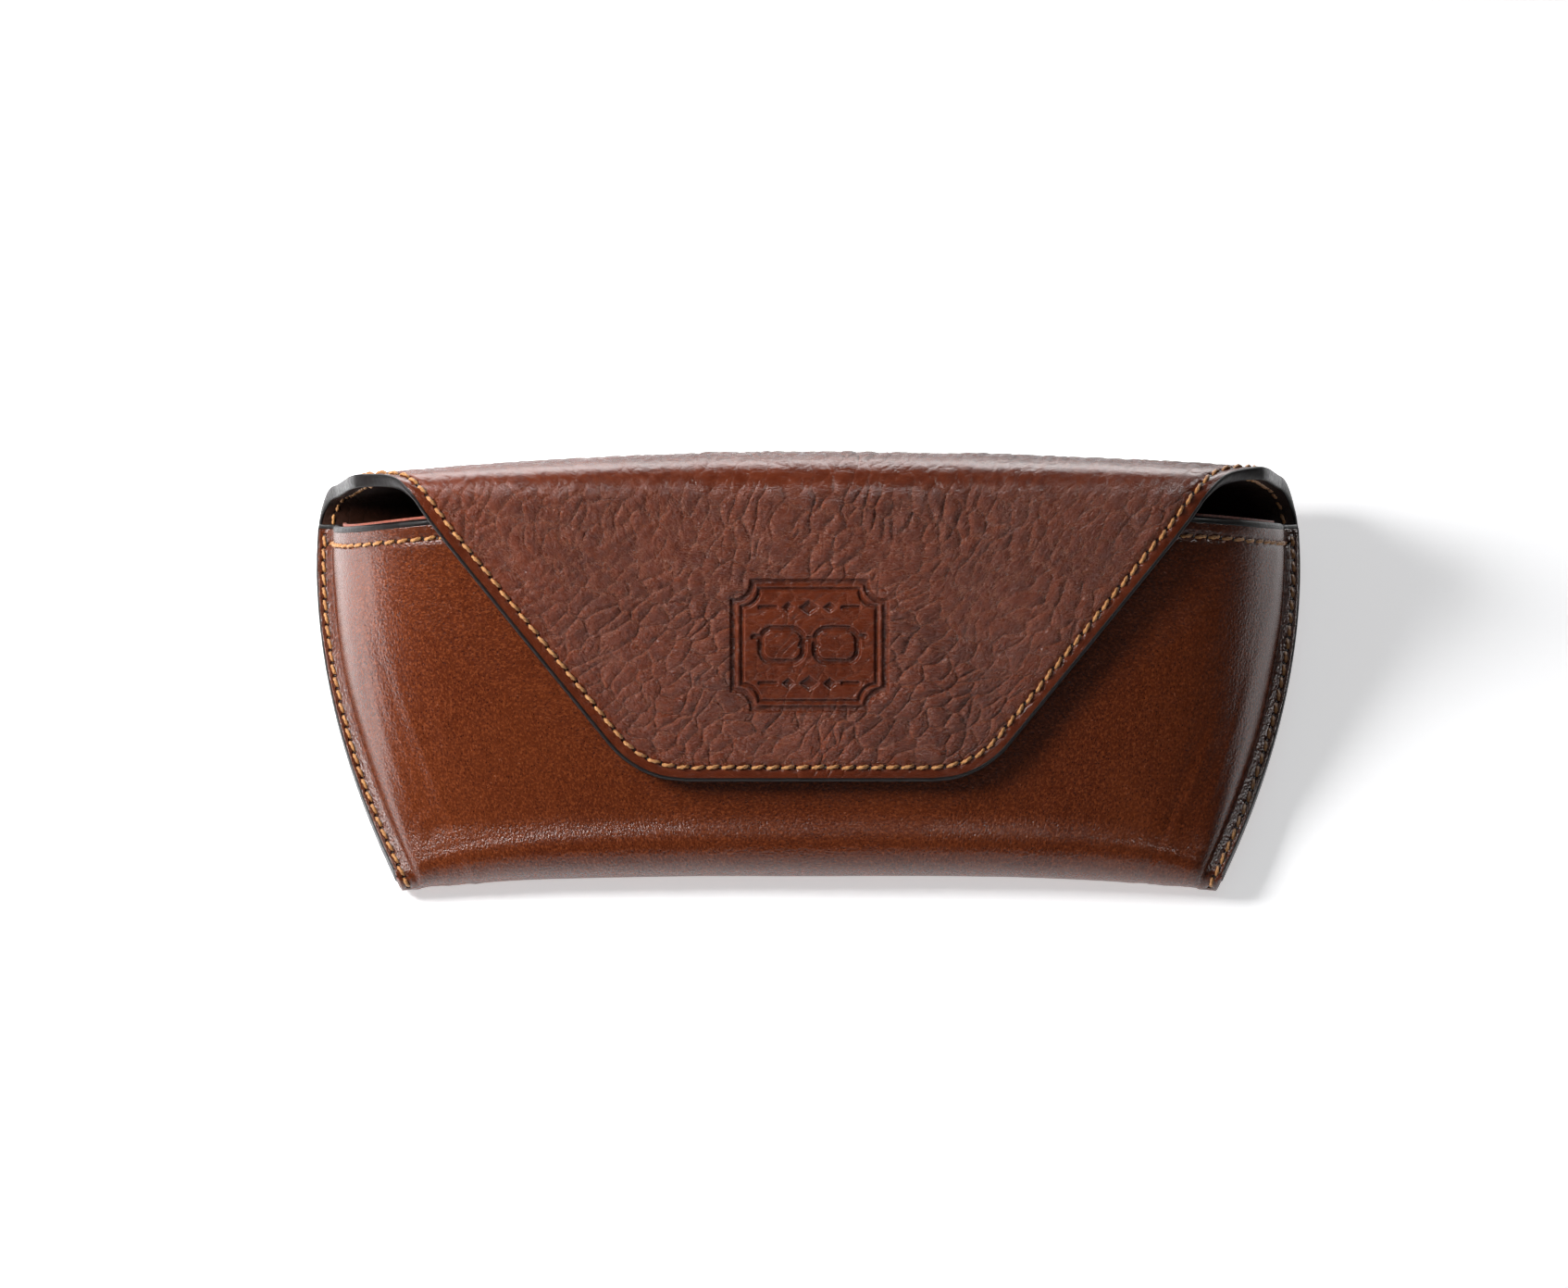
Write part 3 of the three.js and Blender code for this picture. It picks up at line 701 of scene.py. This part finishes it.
def stitches(seam, seed, base):
    """Points and faces of a row of slanted two-ply stitches, one closed body each. base is the
    number of points that come before them."""
    points, faces = [], []
    generator = np.random.default_rng(seed)
    around = 2 * math.pi * np.arange(THREAD_SIDES) / THREAD_SIDES
    t = np.linspace(0, 1, THREAD_SECTIONS)
    arch = np.sin(math.pi * t)**0.6
    one_stitch = tube(THREAD_SECTIONS, THREAD_SIDES)
    for stitch in range(seam.count):
        where = (stitch + STITCH_MARGIN + (1 - 2 * STITCH_MARGIN) * t) * seam.pitch
        centre, normal = seam.at(where)
        aside = unit(np.cross(unit(np.gradient(centre, axis=0)), normal))
        lateral = STITCH_SLANT * (1 - 2 * t) + generator.normal(0, 0.035)
        height = STITCH_ARCH * arch - STITCH_ROOT + generator.normal(0, 0.02)
        spine = centre + aside * lateral[:, None] + normal * height[:, None]
        twist = 2 * math.pi * (t[:, None] * PLY_TURNS + generator.random() * 0.3)
        lobe = 1 + PLY_DEPTH * np.cos(2 * (around[None, :] - twist))
        radius = THREAD_RADIUS * (0.62 + 0.38 * arch)[:, None] * lobe
        section = (aside[:, None, :] * (radius * np.cos(around))[..., None]
                   + normal[:, None, :] * (radius * np.sin(around) * 0.85)[..., None])
        points.append((spine[:, None, :] + section).reshape(-1, 3))
        faces.extend([[corner + base for corner in face] for face in one_stitch])
        base += THREAD_SECTIONS * THREAD_SIDES
    return points, faces


def thread_piece(name, runs):
    """One thread's runs, a seam and a seed each."""
    points, faces = [], []
    for seam, seed in runs:
        more_points, more_faces = stitches(seam, seed, sum(len(block) for block in points))
        points.extend(more_points)
        faces.extend(more_faces)
    return make_mesh(name, np.vstack(points), faces, [THREAD])


# ---- materials ----


class Nodes:
    """Adds nodes to one tree."""

    def __init__(self, tree):
        self.tree = tree

    def put(self, socket, value):
        if isinstance(value, bpy.types.NodeSocket):
            self.tree.links.new(value, socket)
        elif value is not None:
            socket.default_value = value

    def node(self, kind, inputs=(), **settings):
        node = self.tree.nodes.new(kind)
        for key, value in settings.items():
            setattr(node, key, value)
        for key, value in dict(inputs).items():
            self.put(node.inputs[key], value)
        return node

    def math(self, operation, a, b=None, clamp=False):
        node = self.node("ShaderNodeMath", {0: a, 1: b}, operation=operation, use_clamp=clamp)
        return node.outputs[0]

    def attribute(self, name):
        vector = self.node("ShaderNodeAttribute", attribute_name=name).outputs["Vector"]
        return vector, self.node("ShaderNodeSeparateXYZ", {0: vector}).outputs

    def noise(self, vector, scale, detail=2.0, roughness=0.55, distortion=0.0):
        node = self.node("ShaderNodeTexNoise", {
            "Vector": vector, "Scale": scale, "Detail": detail, "Roughness": roughness,
            "Distortion": distortion})
        return node.outputs["Fac"]

    def cells(self, vector, scale):
        node = self.node("ShaderNodeTexVoronoi", {"Vector": vector, "Scale": scale}, feature="F1")
        return node.outputs["Distance"]

    def span(self, value, low, high, to_low=0.0, to_high=1.0):
        """value from low..high to to_low..to_high, held at the ends."""
        node = self.node("ShaderNodeMapRange", {
            "Value": value, "From Min": low, "From Max": high, "To Min": to_low, "To Max": to_high},
            interpolation_type="SMOOTHSTEP")
        return node.outputs["Result"]

    def mix(self, share, a, b):
        node = self.node("ShaderNodeMix", data_type="RGBA", blend_type="MIX")
        self.put(node.inputs["Factor"], share)
        colour_a, colour_b = [k for k in node.inputs if k.type == "RGBA"]
        self.put(colour_a, a)
        self.put(colour_b, b)
        return [k for k in node.outputs if k.type == "RGBA"][0]

    def between(self, value, dark, light, low=0.3, high=0.7):
        """The colour from dark to light that goes with value from low to high."""
        return self.mix(self.span(value, low, high), dark, light)

    def layered(self, colour, *layers):
        """A colour with (share, colour) layers laid over it in turn."""
        for share, over in layers:
            colour = self.mix(share, colour, over)
        return colour

    def weighted(self, *pairs):
        """The sum of socket times weight."""
        total = None
        for socket, weight in pairs:
            term = self.math("MULTIPLY", socket, weight)
            total = term if total is None else self.math("ADD", total, term)
        return total

    def bump(self, height_mm, strength=1.0):
        node = self.node("ShaderNodeBump", {"Height": height_mm, "Distance": 0.001, "Strength": strength})
        return node.outputs["Normal"]


class Shader(Nodes):
    """Builds one material."""

    def __init__(self, name):
        self.material = bpy.data.materials.new(name)
        self.material.use_nodes = True
        super().__init__(self.material.node_tree)
        self.surface = self.tree.nodes["Principled BSDF"]

    def finish(self, colour, roughness, normal=None, **constants):
        self.put(self.surface.inputs["Base Color"], colour)
        self.put(self.surface.inputs["Roughness"], roughness)
        if normal is not None:
            self.put(self.surface.inputs["Normal"], normal)
        for name, value in constants.items():
            self.surface.inputs[name.replace("_", " ")].default_value = value
        return self.material


def rgb(red, green, blue):
    """An sRGB colour of 0 to 255 numbers as a linear one."""
    linear = [((c / 255 + 0.055) / 1.055)**2.4 if c > 10 else c / 255 / 12.92 for c in (red, green, blue)]
    return (*linear, 1.0)


# near-black painted shade inside the needle holes
HOLE_SHADE = rgb(12, 6, 4)


def stitch_holes(shader):
    """1 in a needle hole, 0 outside, and 1 in the pressed channel along the row."""
    _, seam = shader.attribute("seam")
    part = shader.math("FRACT", shader.math("ADD", seam[0], 0.5))
    along = shader.math("MULTIPLY", shader.math("SUBTRACT", part, 0.5), STITCH_PITCH)
    squared = shader.math("ADD", shader.math("POWER", shader.math("ABSOLUTE", along), 2.0),
                          shader.math("POWER", seam[1], 2.0))
    distance = shader.math("SQRT", squared)
    return shader.span(distance, 0.2, 0.46, 0.85, 0.0), shader.span(seam[1], 0.3, 1.3, 1.0, 0.0), seam[2]


def wrinkles(shader, place, angle, scale, stretch):
    """Fine ridged noise stretched along angle, for the wrinkles between the pebbles."""
    turned = shader.node("ShaderNodeMapping", {
        "Vector": place, "Rotation": (0.0, 0.0, angle), "Scale": (1 / stretch, 1.0, 1.0)}).outputs[0]
    field = shader.noise(turned, scale, 3.0, 0.55, 0.35)
    centred = shader.math("ABSOLUTE", shader.math("SUBTRACT", field, 0.5))
    return shader.span(centred, 0.0, 0.11, 0.0, 1.0)


def grained_hide():
    """The flap's leather: tumbled, wrinkled and waxed, with painted shade in its creases and painted
    glints on its wrinkles.
    """
    shader = Shader("grained_hide")
    place, hide = shader.attribute("hide")
    _, crease = shader.attribute("crease")
    hole, channel, stamp = stitch_holes(shader)
    cloudy = shader.noise(place, 0.06, 3.0)
    mottle = shader.noise(place, 0.45, 4.0, 0.6)
    fine = shader.noise(place, 2.6, 3.0, 0.6)
    long_wrinkle = wrinkles(shader, place, LOW_GRAIN_ANGLE, 0.95, 2.8)
    short_wrinkle = wrinkles(shader, place, HIGH_GRAIN_ANGLE, 1.7, 1.8)
    valley = shader.weighted((shader.span(crease[0], 0.0, 0.36, 1, 0), 0.8),
                             (shader.span(crease[1], 0.0, 0.22, 1, 0), 0.4))
    valley = shader.math("MULTIPLY", valley, crease[2])
    # painted glints: pale hairlines along the fine wrinkles, strongest near the creases
    hairline_glints = shader.math("MULTIPLY", shader.span(short_wrinkle, 0.0, 0.45, 1, 0), crease[2])
    painted_glints = shader.math("MULTIPLY", hairline_glints, shader.span(crease[0], 0.3, 1.1, 1.0, 0.15))
    pressed = shader.span(stamp, -0.1, 0.35, 1.0, 0.0)
    colour = shader.between(cloudy, rgb(78, 29, 12), rgb(94, 37, 16))
    colour = shader.layered(
        colour,
        (shader.span(mottle, 0.3, 0.75, 0.0, 0.35), rgb(130, 60, 32)),
        # painted shade: the grain's creases darkened
        (shader.math("MULTIPLY", valley, 0.25), rgb(50, 18, 9)),
        # painted glints on the wrinkles
        (shader.math("MULTIPLY", painted_glints, 0.26), rgb(184, 120, 92)),
        (shader.span(hide[2], 0.4, 3.5, 0.35, 0.0), rgb(66, 28, 16)),
        (shader.math("MULTIPLY", pressed, 0.35), rgb(44, 16, 8)),
        # painted shade in the needle holes
        (hole, HOLE_SHADE))
    tumbled = shader.weighted((long_wrinkle, 0.07), (short_wrinkle, 0.05), (fine, 0.03), (mottle, 0.3))
    tumbled = shader.math("MULTIPLY", tumbled, shader.span(crease[2], 0.1, 0.9, 0.12, 1.0))
    height = shader.math("ADD", tumbled, shader.weighted(
        (fine, 0.02), (valley, -0.1), (pressed, -0.12), (hole, -0.3), (channel, -0.05)))
    rough = shader.weighted((mottle, 0.1), (fine, 0.1), (valley, 0.1), (crease[2], 0.03))
    rough = shader.math("ADD", rough, 0.09, clamp=True)
    return shader.finish(colour, rough, shader.bump(height), Specular_IOR_Level=0.55)


def smooth_hide():
    """The front's leather: close-grained, moulded wet and burnished, with painted shade in its pores and
    painted glints on its fine grain.
    """
    shader = Shader("smooth_hide")
    place, hide = shader.attribute("hide")
    hole, channel, _ = stitch_holes(shader)
    cloudy = shader.noise(place, 0.03, 3.0, 0.5, 0.6)
    mottle = shader.noise(place, 0.3, 4.0, 0.6)
    pores = shader.cells(place, 1.9)
    fine = shader.noise(place, 1.9, 4.0, 0.7)
    stretched = shader.node("ShaderNodeMapping", {"Vector": place, "Scale": (1.0, 0.22, 1.0)}).outputs[0]
    scuff = shader.noise(stretched, 0.9, 4.0, 0.7)
    colour = shader.between(cloudy, rgb(79, 30, 8), rgb(91, 38, 12), high=0.72)
    colour = shader.layered(
        colour,
        (shader.span(mottle, 0.35, 0.8, 0.0, 0.25), rgb(106, 46, 17)),
        # painted shade in the pores
        (shader.span(pores, 0.05, 0.5, 0.75, 0.0), rgb(38, 12, 4)),
        # painted glints on the fine grain, as light speckles
        (shader.span(fine, 0.46, 0.66, 0.0, 0.75), rgb(134, 66, 32)),
        (shader.span(hide[2], 0.5, 9.0, 0.35, 0.0), rgb(60, 26, 13)),
        # painted shade in the needle holes
        (hole, HOLE_SHADE))
    height = shader.weighted((pores, 0.06), (fine, 0.05), (mottle, 0.05), (scuff, 0.05), (hole, -0.3),
                             (channel, -0.05))
    rough = shader.math("ADD", shader.weighted((mottle, 0.1), (fine, 0.1), (scuff, 0.08)), 0.1, clamp=True)
    return shader.finish(colour, rough, shader.bump(height), Specular_IOR_Level=0.7)


def lining_skin():
    shader = Shader("lining")
    place, _ = shader.attribute("hide")
    hole, _, _ = stitch_holes(shader)
    nap = shader.noise(place, 1.4, 5.0, 0.7)
    wrinkle = shader.noise(place, 0.25, 4.0, 0.6, 1.2)
    colour = shader.between(wrinkle, rgb(26, 14, 10), rgb(46, 26, 19))
    colour = shader.mix(shader.span(nap, 0.3, 0.75, 0.0, 0.5), colour, rgb(62, 38, 28))
    # painted shade in the needle holes
    colour = shader.mix(hole, colour, rgb(12, 7, 5))
    height = shader.weighted((nap, 0.12), (wrinkle, 0.35), (hole, -0.3))
    rough = shader.span(nap, 0.2, 0.8, 0.6, 0.88)
    return shader.finish(colour, rough, shader.bump(height, 0.8), Specular_IOR_Level=0.2)


def lining_edge():
    shader = Shader("lining_edge")
    place, _ = shader.attribute("hide")
    fibre = shader.noise(place, 2.5, 4.0, 0.7)
    colour = shader.between(fibre, rgb(108, 52, 38), rgb(158, 88, 70))
    normal = shader.bump(shader.weighted((fibre, 0.08)), 0.8)
    return shader.finish(colour, shader.span(fibre, 0.3, 0.7, 0.5, 0.75), normal)


def edge_paint():
    """The dark coat brushed on every cut edge."""
    shader = Shader("edge_paint")
    place, _ = shader.attribute("hide")
    drift = shader.noise(place, 0.35, 3.0)
    brushed = shader.noise(place, 1.6, 3.0, 0.6)
    colour = shader.between(drift, rgb(12, 9, 9), rgb(24, 18, 18))
    rough = shader.span(brushed, 0.3, 0.7, 0.32, 0.5)
    normal = shader.bump(shader.weighted((brushed, 0.06), (drift, 0.25)), 0.8)
    return shader.finish(colour, rough, normal, Specular_IOR_Level=0.35)


def waxed_thread():
    shader = Shader("thread")
    place = shader.node("ShaderNodeTexCoord").outputs["Object"]
    fibres = shader.noise(place, 3600.0, 3.0, 0.7)
    drift = shader.noise(place, 260.0, 2.0)
    colour = shader.between(fibres, rgb(140, 88, 44), rgb(208, 154, 96))
    colour = shader.mix(shader.span(drift, 0.35, 0.7, 0.0, 0.4), colour, rgb(160, 104, 56))
    rough = shader.span(fibres, 0.3, 0.7, 0.4, 0.6)
    normal = shader.bump(shader.weighted((fibres, 0.06)), 0.8)
    return shader.finish(colour, rough, normal, Sheen_Weight=0.1, Sheen_Roughness=0.4)


def magnet_plate():
    shader = Shader("magnet_plate")
    place = shader.node("ShaderNodeTexCoord").outputs["Object"]
    brushed = shader.noise(place, 900.0, 3.0)
    colour = shader.mix(brushed, rgb(150, 152, 156), rgb(196, 197, 200))
    return shader.finish(colour, shader.span(brushed, 0.3, 0.7, 0.25, 0.45), Metallic=1.0)


GRAINED = grained_hide()
SMOOTH = smooth_hide()
LINED = lining_skin()
LINED_EDGE = lining_edge()
PAINT = edge_paint()
THREAD = waxed_thread()
MAGNET = magnet_plate()

# ---- skins ----


def skin_values(u, v, edge, run, off, stamp=None, large=None, small=None, grained=None):
    """The values the materials read at each point of a skin."""
    far = np.full(u.shape, FAR)
    rest = [far if value is None else value for value in (stamp, large, small, grained)]
    filled = [np.broadcast_to(value, u.shape) for value in (u, v, edge, run, off, *rest)]
    return [("hide", np.stack(filled[:3], -1)), ("seam", np.stack(filled[3:6], -1)),
            ("crease", np.stack(filled[6:], -1))]


def distances(grid, axis):
    """Distance along a grid's rows (axis 0) or columns (axis 1)."""
    step = np.linalg.norm(np.diff(grid, axis=axis), axis=2)
    return np.concatenate([np.zeros_like(np.take(step, [0], axis)), np.cumsum(step, axis=axis)], axis=axis)


def leather_piece(name, grid, normals, outward, relief, values, face):
    """The leather on a grid, with relief on its outer face."""
    return skin(name, grid + normals * relief[..., None], grid - normals * LEATHER, outward,
                [face, LINED, face], values)


def lining_piece(name, grid, normals, outward, values, face=None):
    """A lining under a grid of leather. face is the material of the side towards the leather."""
    top = grid - normals * (LEATHER + GLUE)
    return skin(name, top, top - normals * LINING, outward, [face or LINED, LINED, LINED_EDGE], values)


# ---- the front: leather that wraps the bottom fold ----
front_v = distances(FRONT, 0)
front_u = distances(FRONT, 1)
front_u = front_u - front_u[:, [FRONT.shape[1] // 2]]
front_edge = np.minimum(side_half_width(np.maximum(FRONT[..., 1], 0)) - np.abs(FRONT[..., 0]),
                        front_v[-1:] - front_v)
relief, run, off = front_relief(FRONT, [*side_seams.values(), hem_seam])
relief = relief * smoothstep(front_v, 0, 3) * smoothstep(front_edge, 0.1, 0.9)
front_values = skin_values(front_u, front_v, front_edge, run, off)
front_hide = leather_piece("front_hide", FRONT, FRONT_NORMALS, 1, relief, front_values, SMOOTH)
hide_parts("front_leather")
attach(front_hide, "pouch")

LIP = np.array([0.5, 1.0, 1.4])   # the lining stands a little proud of the leather at the mouth
lip_way = unit(FRONT[-1] - FRONT[-2])
lip_share = 1 - smoothstep(np.abs(front_columns), 0.90, 0.93)
lip_rows = FRONT[-1] + lip_way * lip_share[:, None] * LIP[:, None, None]
lip_normals = np.broadcast_to(FRONT_NORMALS[-1], lip_rows.shape)
lipped_values = [(label, np.concatenate([block, np.repeat(block[-1:], len(LIP), 0)]))
                 for label, block in front_values]
front_lining = lining_piece("front_lining_skin", np.concatenate([FRONT, lip_rows]),
                            np.concatenate([FRONT_NORMALS, lip_normals]), 1, lipped_values, LINED_EDGE)
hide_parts("front_lining")
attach(front_lining, "pouch")

MOUTH_BULGE = 0.95
last_row = (np.full(len(front_columns), -1), np.arange(len(front_columns)))
mouth_corners = border(FRONT, FRONT_NORMALS, last_row, LEATHER)
mouth_aside = unit(mouth_corners[3] * 0.2 + lip_way * 0.8)
mouth_edge = coat("mouth_edge", *mouth_corners[:3], mouth_aside, MOUTH_BULGE)
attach(mouth_edge, "pouch")

# ---- the back, the lower bend and half of the spine ----
EXACT_WITHIN = 7.0


def outline_distance(x, s):
    """Distance in from the outline of the back and flap, exact near it."""
    edge = half_width(s) - np.abs(x)
    band = (edge < EXACT_WITHIN) & (s > TAPER_START - 20)
    places = np.stack([np.abs(x[band]), s[band]], -1)
    line = outline[outline[:, 0] > 0]
    nearest = np.full(len(places), EXACT_WITHIN)
    for start in range(0, len(places), CHUNK):
        gap = places[start:start + CHUNK, None, :] - line[None]
        nearest[start:start + CHUNK] = np.sqrt((gap**2).sum(-1).min(1))
    tip = np.minimum(edge, FLAP_LENGTH - s)
    tip[band] = np.minimum(tip[band], nearest)
    return np.maximum(tip, 0)


def flap_values(x, s, points, seams):
    """Relief and shader values of the grained leather at (x, s) places. The grain is pressed flat
    beside the edge and in the stamped plaque, and stretched flat over the upper bend."""
    height, large, small = grain(x, s)
    stitched, run, off = seam_relief(points, seams)
    edge = outline_distance(x, s)
    calm = 0.25 + 0.75 * smoothstep(edge, 0.8, 4.5)
    over_bend = 1 - 0.85 * np.exp(-(np.abs(s - lerp(upper_start, tongue_start, 0.6)) / 4.2)**3)
    over_bend = over_bend * lerp(0.6, 1.0, smoothstep(s, upper_start - 6, tongue_start))
    mark_y = STAMP_ROW - s
    stamp = stamp_distance(x, mark_y)
    outside_mark = smoothstep(plaque(x, mark_y, *PLAQUE), -1.2, 2.0)
    grained = calm * over_bend * lerp(0.35, 1.0, outside_mark)
    pressed = -STAMP_DEPTH * smoothstep(-stamp, -0.28, 0.16) - PLAQUE_DEPTH * (1 - outside_mark)
    relief = (height * grained + stitched + pressed) * smoothstep(edge, 0.05, 0.8)
    return relief, skin_values(x, s, edge, run, off, stamp, large, small, grained)


root_x = back_columns[None, :] * half_width(ROOT_S)
relief, root_values = flap_values(root_x, ROOT_S, ROOT, [*back_seams.values(), *root_seams.values()])
lying = 1 - smoothstep(ROOT_S, -3, 3)
relief = lerp(relief, np.minimum(relief * 0.3, 0), lying)
relief = relief * smoothstep(ROOT_S - fold_end(back_columns)[None, :], 0, 2)
back_hide = leather_piece("back_hide", ROOT, ROOT_NORMALS, -1, relief, root_values, GRAINED)
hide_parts("back_leather")
back_lining = lining_piece("back_lining_skin", ROOT, ROOT_NORMALS, -1, root_values)
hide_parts("back_lining")

# ---- the rest of the spine, the upper bend and the tongue ----
flap_x = flap_columns[None, :] * half_width(FLAP_S)
relief, tongue_values = flap_values(flap_x, FLAP_S, FLAP, [flap_seam])
flap_hide = leather_piece("flap_hide", FLAP, FLAP_NORMALS, -1, relief, tongue_values, GRAINED)
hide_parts("spine_leather", "tongue_leather")
flap_lining = lining_piece("flap_lining_skin", FLAP, FLAP_NORMALS, -1, tongue_values)
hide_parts("spine_lining", "tongue_lining")

FLAP_BULGE = 0.5
FULL_DEPTH = LEATHER + GLUE + LINING
down = np.arange(len(flap_rows))
over = np.arange(1, len(flap_columns) - 1)
round_path = (np.concatenate([down, np.full(len(over), -1), down[::-1]]),
              np.concatenate([np.zeros(len(down), int), over, np.full(len(down), -1)]))
top, under, normal, aside = border(FLAP, FLAP_NORMALS, round_path, FULL_DEPTH)
middle_of_tongue = FLAP[len(flap_rows) // 2, len(flap_columns) // 2]
aside = aside * np.sign(np.sum((top - middle_of_tongue) * aside))
flap_edge = coat("flap_edge", top, under, normal, aside, FLAP_BULGE)
root_edges = []
edge_start = SEAM_END - hinge_y - 0.3
for side, column, sign in (("left", 0, -1), ("right", -1, 1)):
    rows = np.nonzero(ROOT_S[:, column] >= edge_start)[0]
    top, under, normal, aside = border(ROOT, ROOT_NORMALS, (rows, np.full(len(rows), column)), FULL_DEPTH)
    aside = aside * np.sign(aside[:, 0].sum() * sign)
    root_edges.append(coat(f"root_edge_{side}", top, under, normal, aside, FLAP_BULGE))

# ---- the painted side edges, over all the cut skins of a seam ----
SIDE_BULGE = 0.28
SIDE_LAP = 0.1
for side, column, sign in (("left", 0, -1.0), ("right", -1, 1.0)):
    rows = np.nonzero(front_rows >= FOLD_SHARE)[0]
    upper = FRONT[rows, column]
    lower = back_surface(sign, upper[:, 1] - hinge_y)
    upward = unit(upper - lower)
    outward_x = np.broadcast_to([sign, 0.0, 0.0], upper.shape)
    side_edge = coat(f"side_edge_{side}", upper, lower, upward, outward_x, SIDE_BULGE, SIDE_LAP)
    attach(side_edge, "pouch")

# ---- threads ----


def inside(seam):
    """The same row on the lining's side."""
    points = seam.points - seam.normals * FULL_DEPTH
    return Seam(points, -seam.normals)


for seed, side in enumerate(("left", "right")):
    side_stitches = thread_piece(f"side_stitches_{side}",
                                 [(side_seams[side], 50 + seed), (back_seams[side], 60 + seed)])
    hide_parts(f"side_thread_{side}")
    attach(side_stitches, "pouch")
mouth_stitches = thread_piece("mouth_stitches", [(hem_seam, 70), (inside(hem_seam), 71)])
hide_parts("mouth_thread")
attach(mouth_stitches, "pouch")
root_runs = [(seam, 80 + k) for k, seam in enumerate(root_seams.values())]
root_runs += [(inside(seam), 84 + k) for k, seam in enumerate(root_seams.values())]
root_stitches = thread_piece("hinge_stitches", root_runs)
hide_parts("back_thread_left", "back_thread_right")
flap_stitches = thread_piece("flap_stitches", [(flap_seam, 90), (inside(flap_seam), 91)])
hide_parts("spine_thread_left", "spine_thread_right", "tongue_thread")

# ---- hidden magnets keep their CAD shape ----
for node in ("front_magnet", "tongue_magnet"):
    plate = frame["nodes"][node]
    plate.data.materials.clear()
    plate.data.materials.append(MAGNET)

# ---- the back and flap pieces, their placement baked into their meshes ----


for piece in (back_hide, back_lining, root_stitches, *root_edges):
    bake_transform(piece)
for piece in (flap_hide, flap_lining, flap_stitches, flap_edge):
    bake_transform(piece)

# ---- floor, light and camera ----


def floor_paper():
    """White paper that glows a little, as under a large soft lamp."""
    white = (0.92, 0.92, 0.93, 1)
    shader = Shader("floor_paper")
    shader.put(shader.surface.inputs["Emission Color"], white)
    return shader.finish(white, 0.7, Specular_IOR_Level=0.2, Emission_Strength=0.55)


bpy.ops.mesh.primitive_plane_add(size=6, location=(0, 0, -0.0002))
floor = bpy.context.object
floor.name = "floor"
floor.data.materials.append(floor_paper())


LAMP_AIM = Vector((0, 0, 0.015))


def soft_light(name, place, size, watts, shades=True, shines=True):
    """A rectangular lamp. shades and shines say whether it lights surfaces and shows in their gloss."""
    data = bpy.data.lights.new(name, "AREA")
    data.shape = "RECTANGLE"
    data.size, data.size_y = size
    data.energy = watts
    lamp = bpy.data.objects.new(name, data)
    lamp.visible_diffuse = shades
    lamp.visible_glossy = shines
    lamp.location = place
    lamp.rotation_euler = (LAMP_AIM - Vector(place)).to_track_quat("-Z", "Y").to_euler()
    bpy.context.scene.collection.objects.link(lamp)


soft_light("left_key", (-0.30, 0.05, 0.27), (0.16, 0.16), 2.5, shines=False)
soft_light("overhead", (0.0, 0.1, 1.3), (0.9, 0.9), 1.3, shines=False)
soft_light("left_wall", (-0.9, 0.0, 0.08), (1.0, 0.09), 2.3, shades=False)
soft_light("behind", (0.05, 0.85, 0.24), (1.2, 0.36), 12.5, shades=False)
soft_light("over_left", (-0.5, 0.25, 0.8), (0.2, 0.2), 4.6, shades=False)
soft_light("over_right", (0.5, 0.4, 0.75), (0.2, 0.2), 2.0, shades=False)
soft_light("low_front", (0.2, -0.9, 0.36), (0.9, 0.25), 0.8, shades=False)

# the room is bright low down and on the left, for a soft gradient in the gloss
world = bpy.data.worlds.new("studio")
world.use_nodes = True
sky = Nodes(world.node_tree)
direction = sky.node("ShaderNodeTexCoord").outputs["Generated"]
towards = sky.node("ShaderNodeSeparateXYZ", {0: direction}).outputs
by_height = sky.span(towards["Z"], 0.1, 0.4, 0.9, 0.05)
by_side = sky.span(towards["X"], -0.5, 0.5, 1.0, 0.25)
background = sky.tree.nodes["Background"].inputs
sky.put(background["Strength"], sky.math("MULTIPLY", by_height, by_side))
background["Color"].default_value = (1, 1, 1, 1)
bpy.context.scene.world = world
bpy.context.scene.view_settings.view_transform = "Standard"

# The camera looks down at the case from its bottom fold's side, nearly square to the front panel.
ELEVATION = math.radians(65.0)
DISTANCE = 0.85
FOCAL_LENGTH = 110.9             # millimetres, on a 36 mm sensor
aim = Vector((0.0, -0.0019, 0.018))
back = Vector((0, -math.cos(ELEVATION), math.sin(ELEVATION)))
up = Vector((0, math.sin(ELEVATION), math.cos(ELEVATION)))
offset = Vector((-0.0044, 0, 0)) + up * 0.0026
lens = bpy.data.cameras.new("camera")
lens.lens = FOCAL_LENGTH
lens.sensor_width = 36.0
camera = bpy.data.objects.new("camera", lens)
camera.location = aim + back * DISTANCE + offset
camera.rotation_euler = (-back).to_track_quat("-Z", "Y").to_euler()
bpy.context.scene.collection.objects.link(camera)
bpy.context.scene.camera = camera
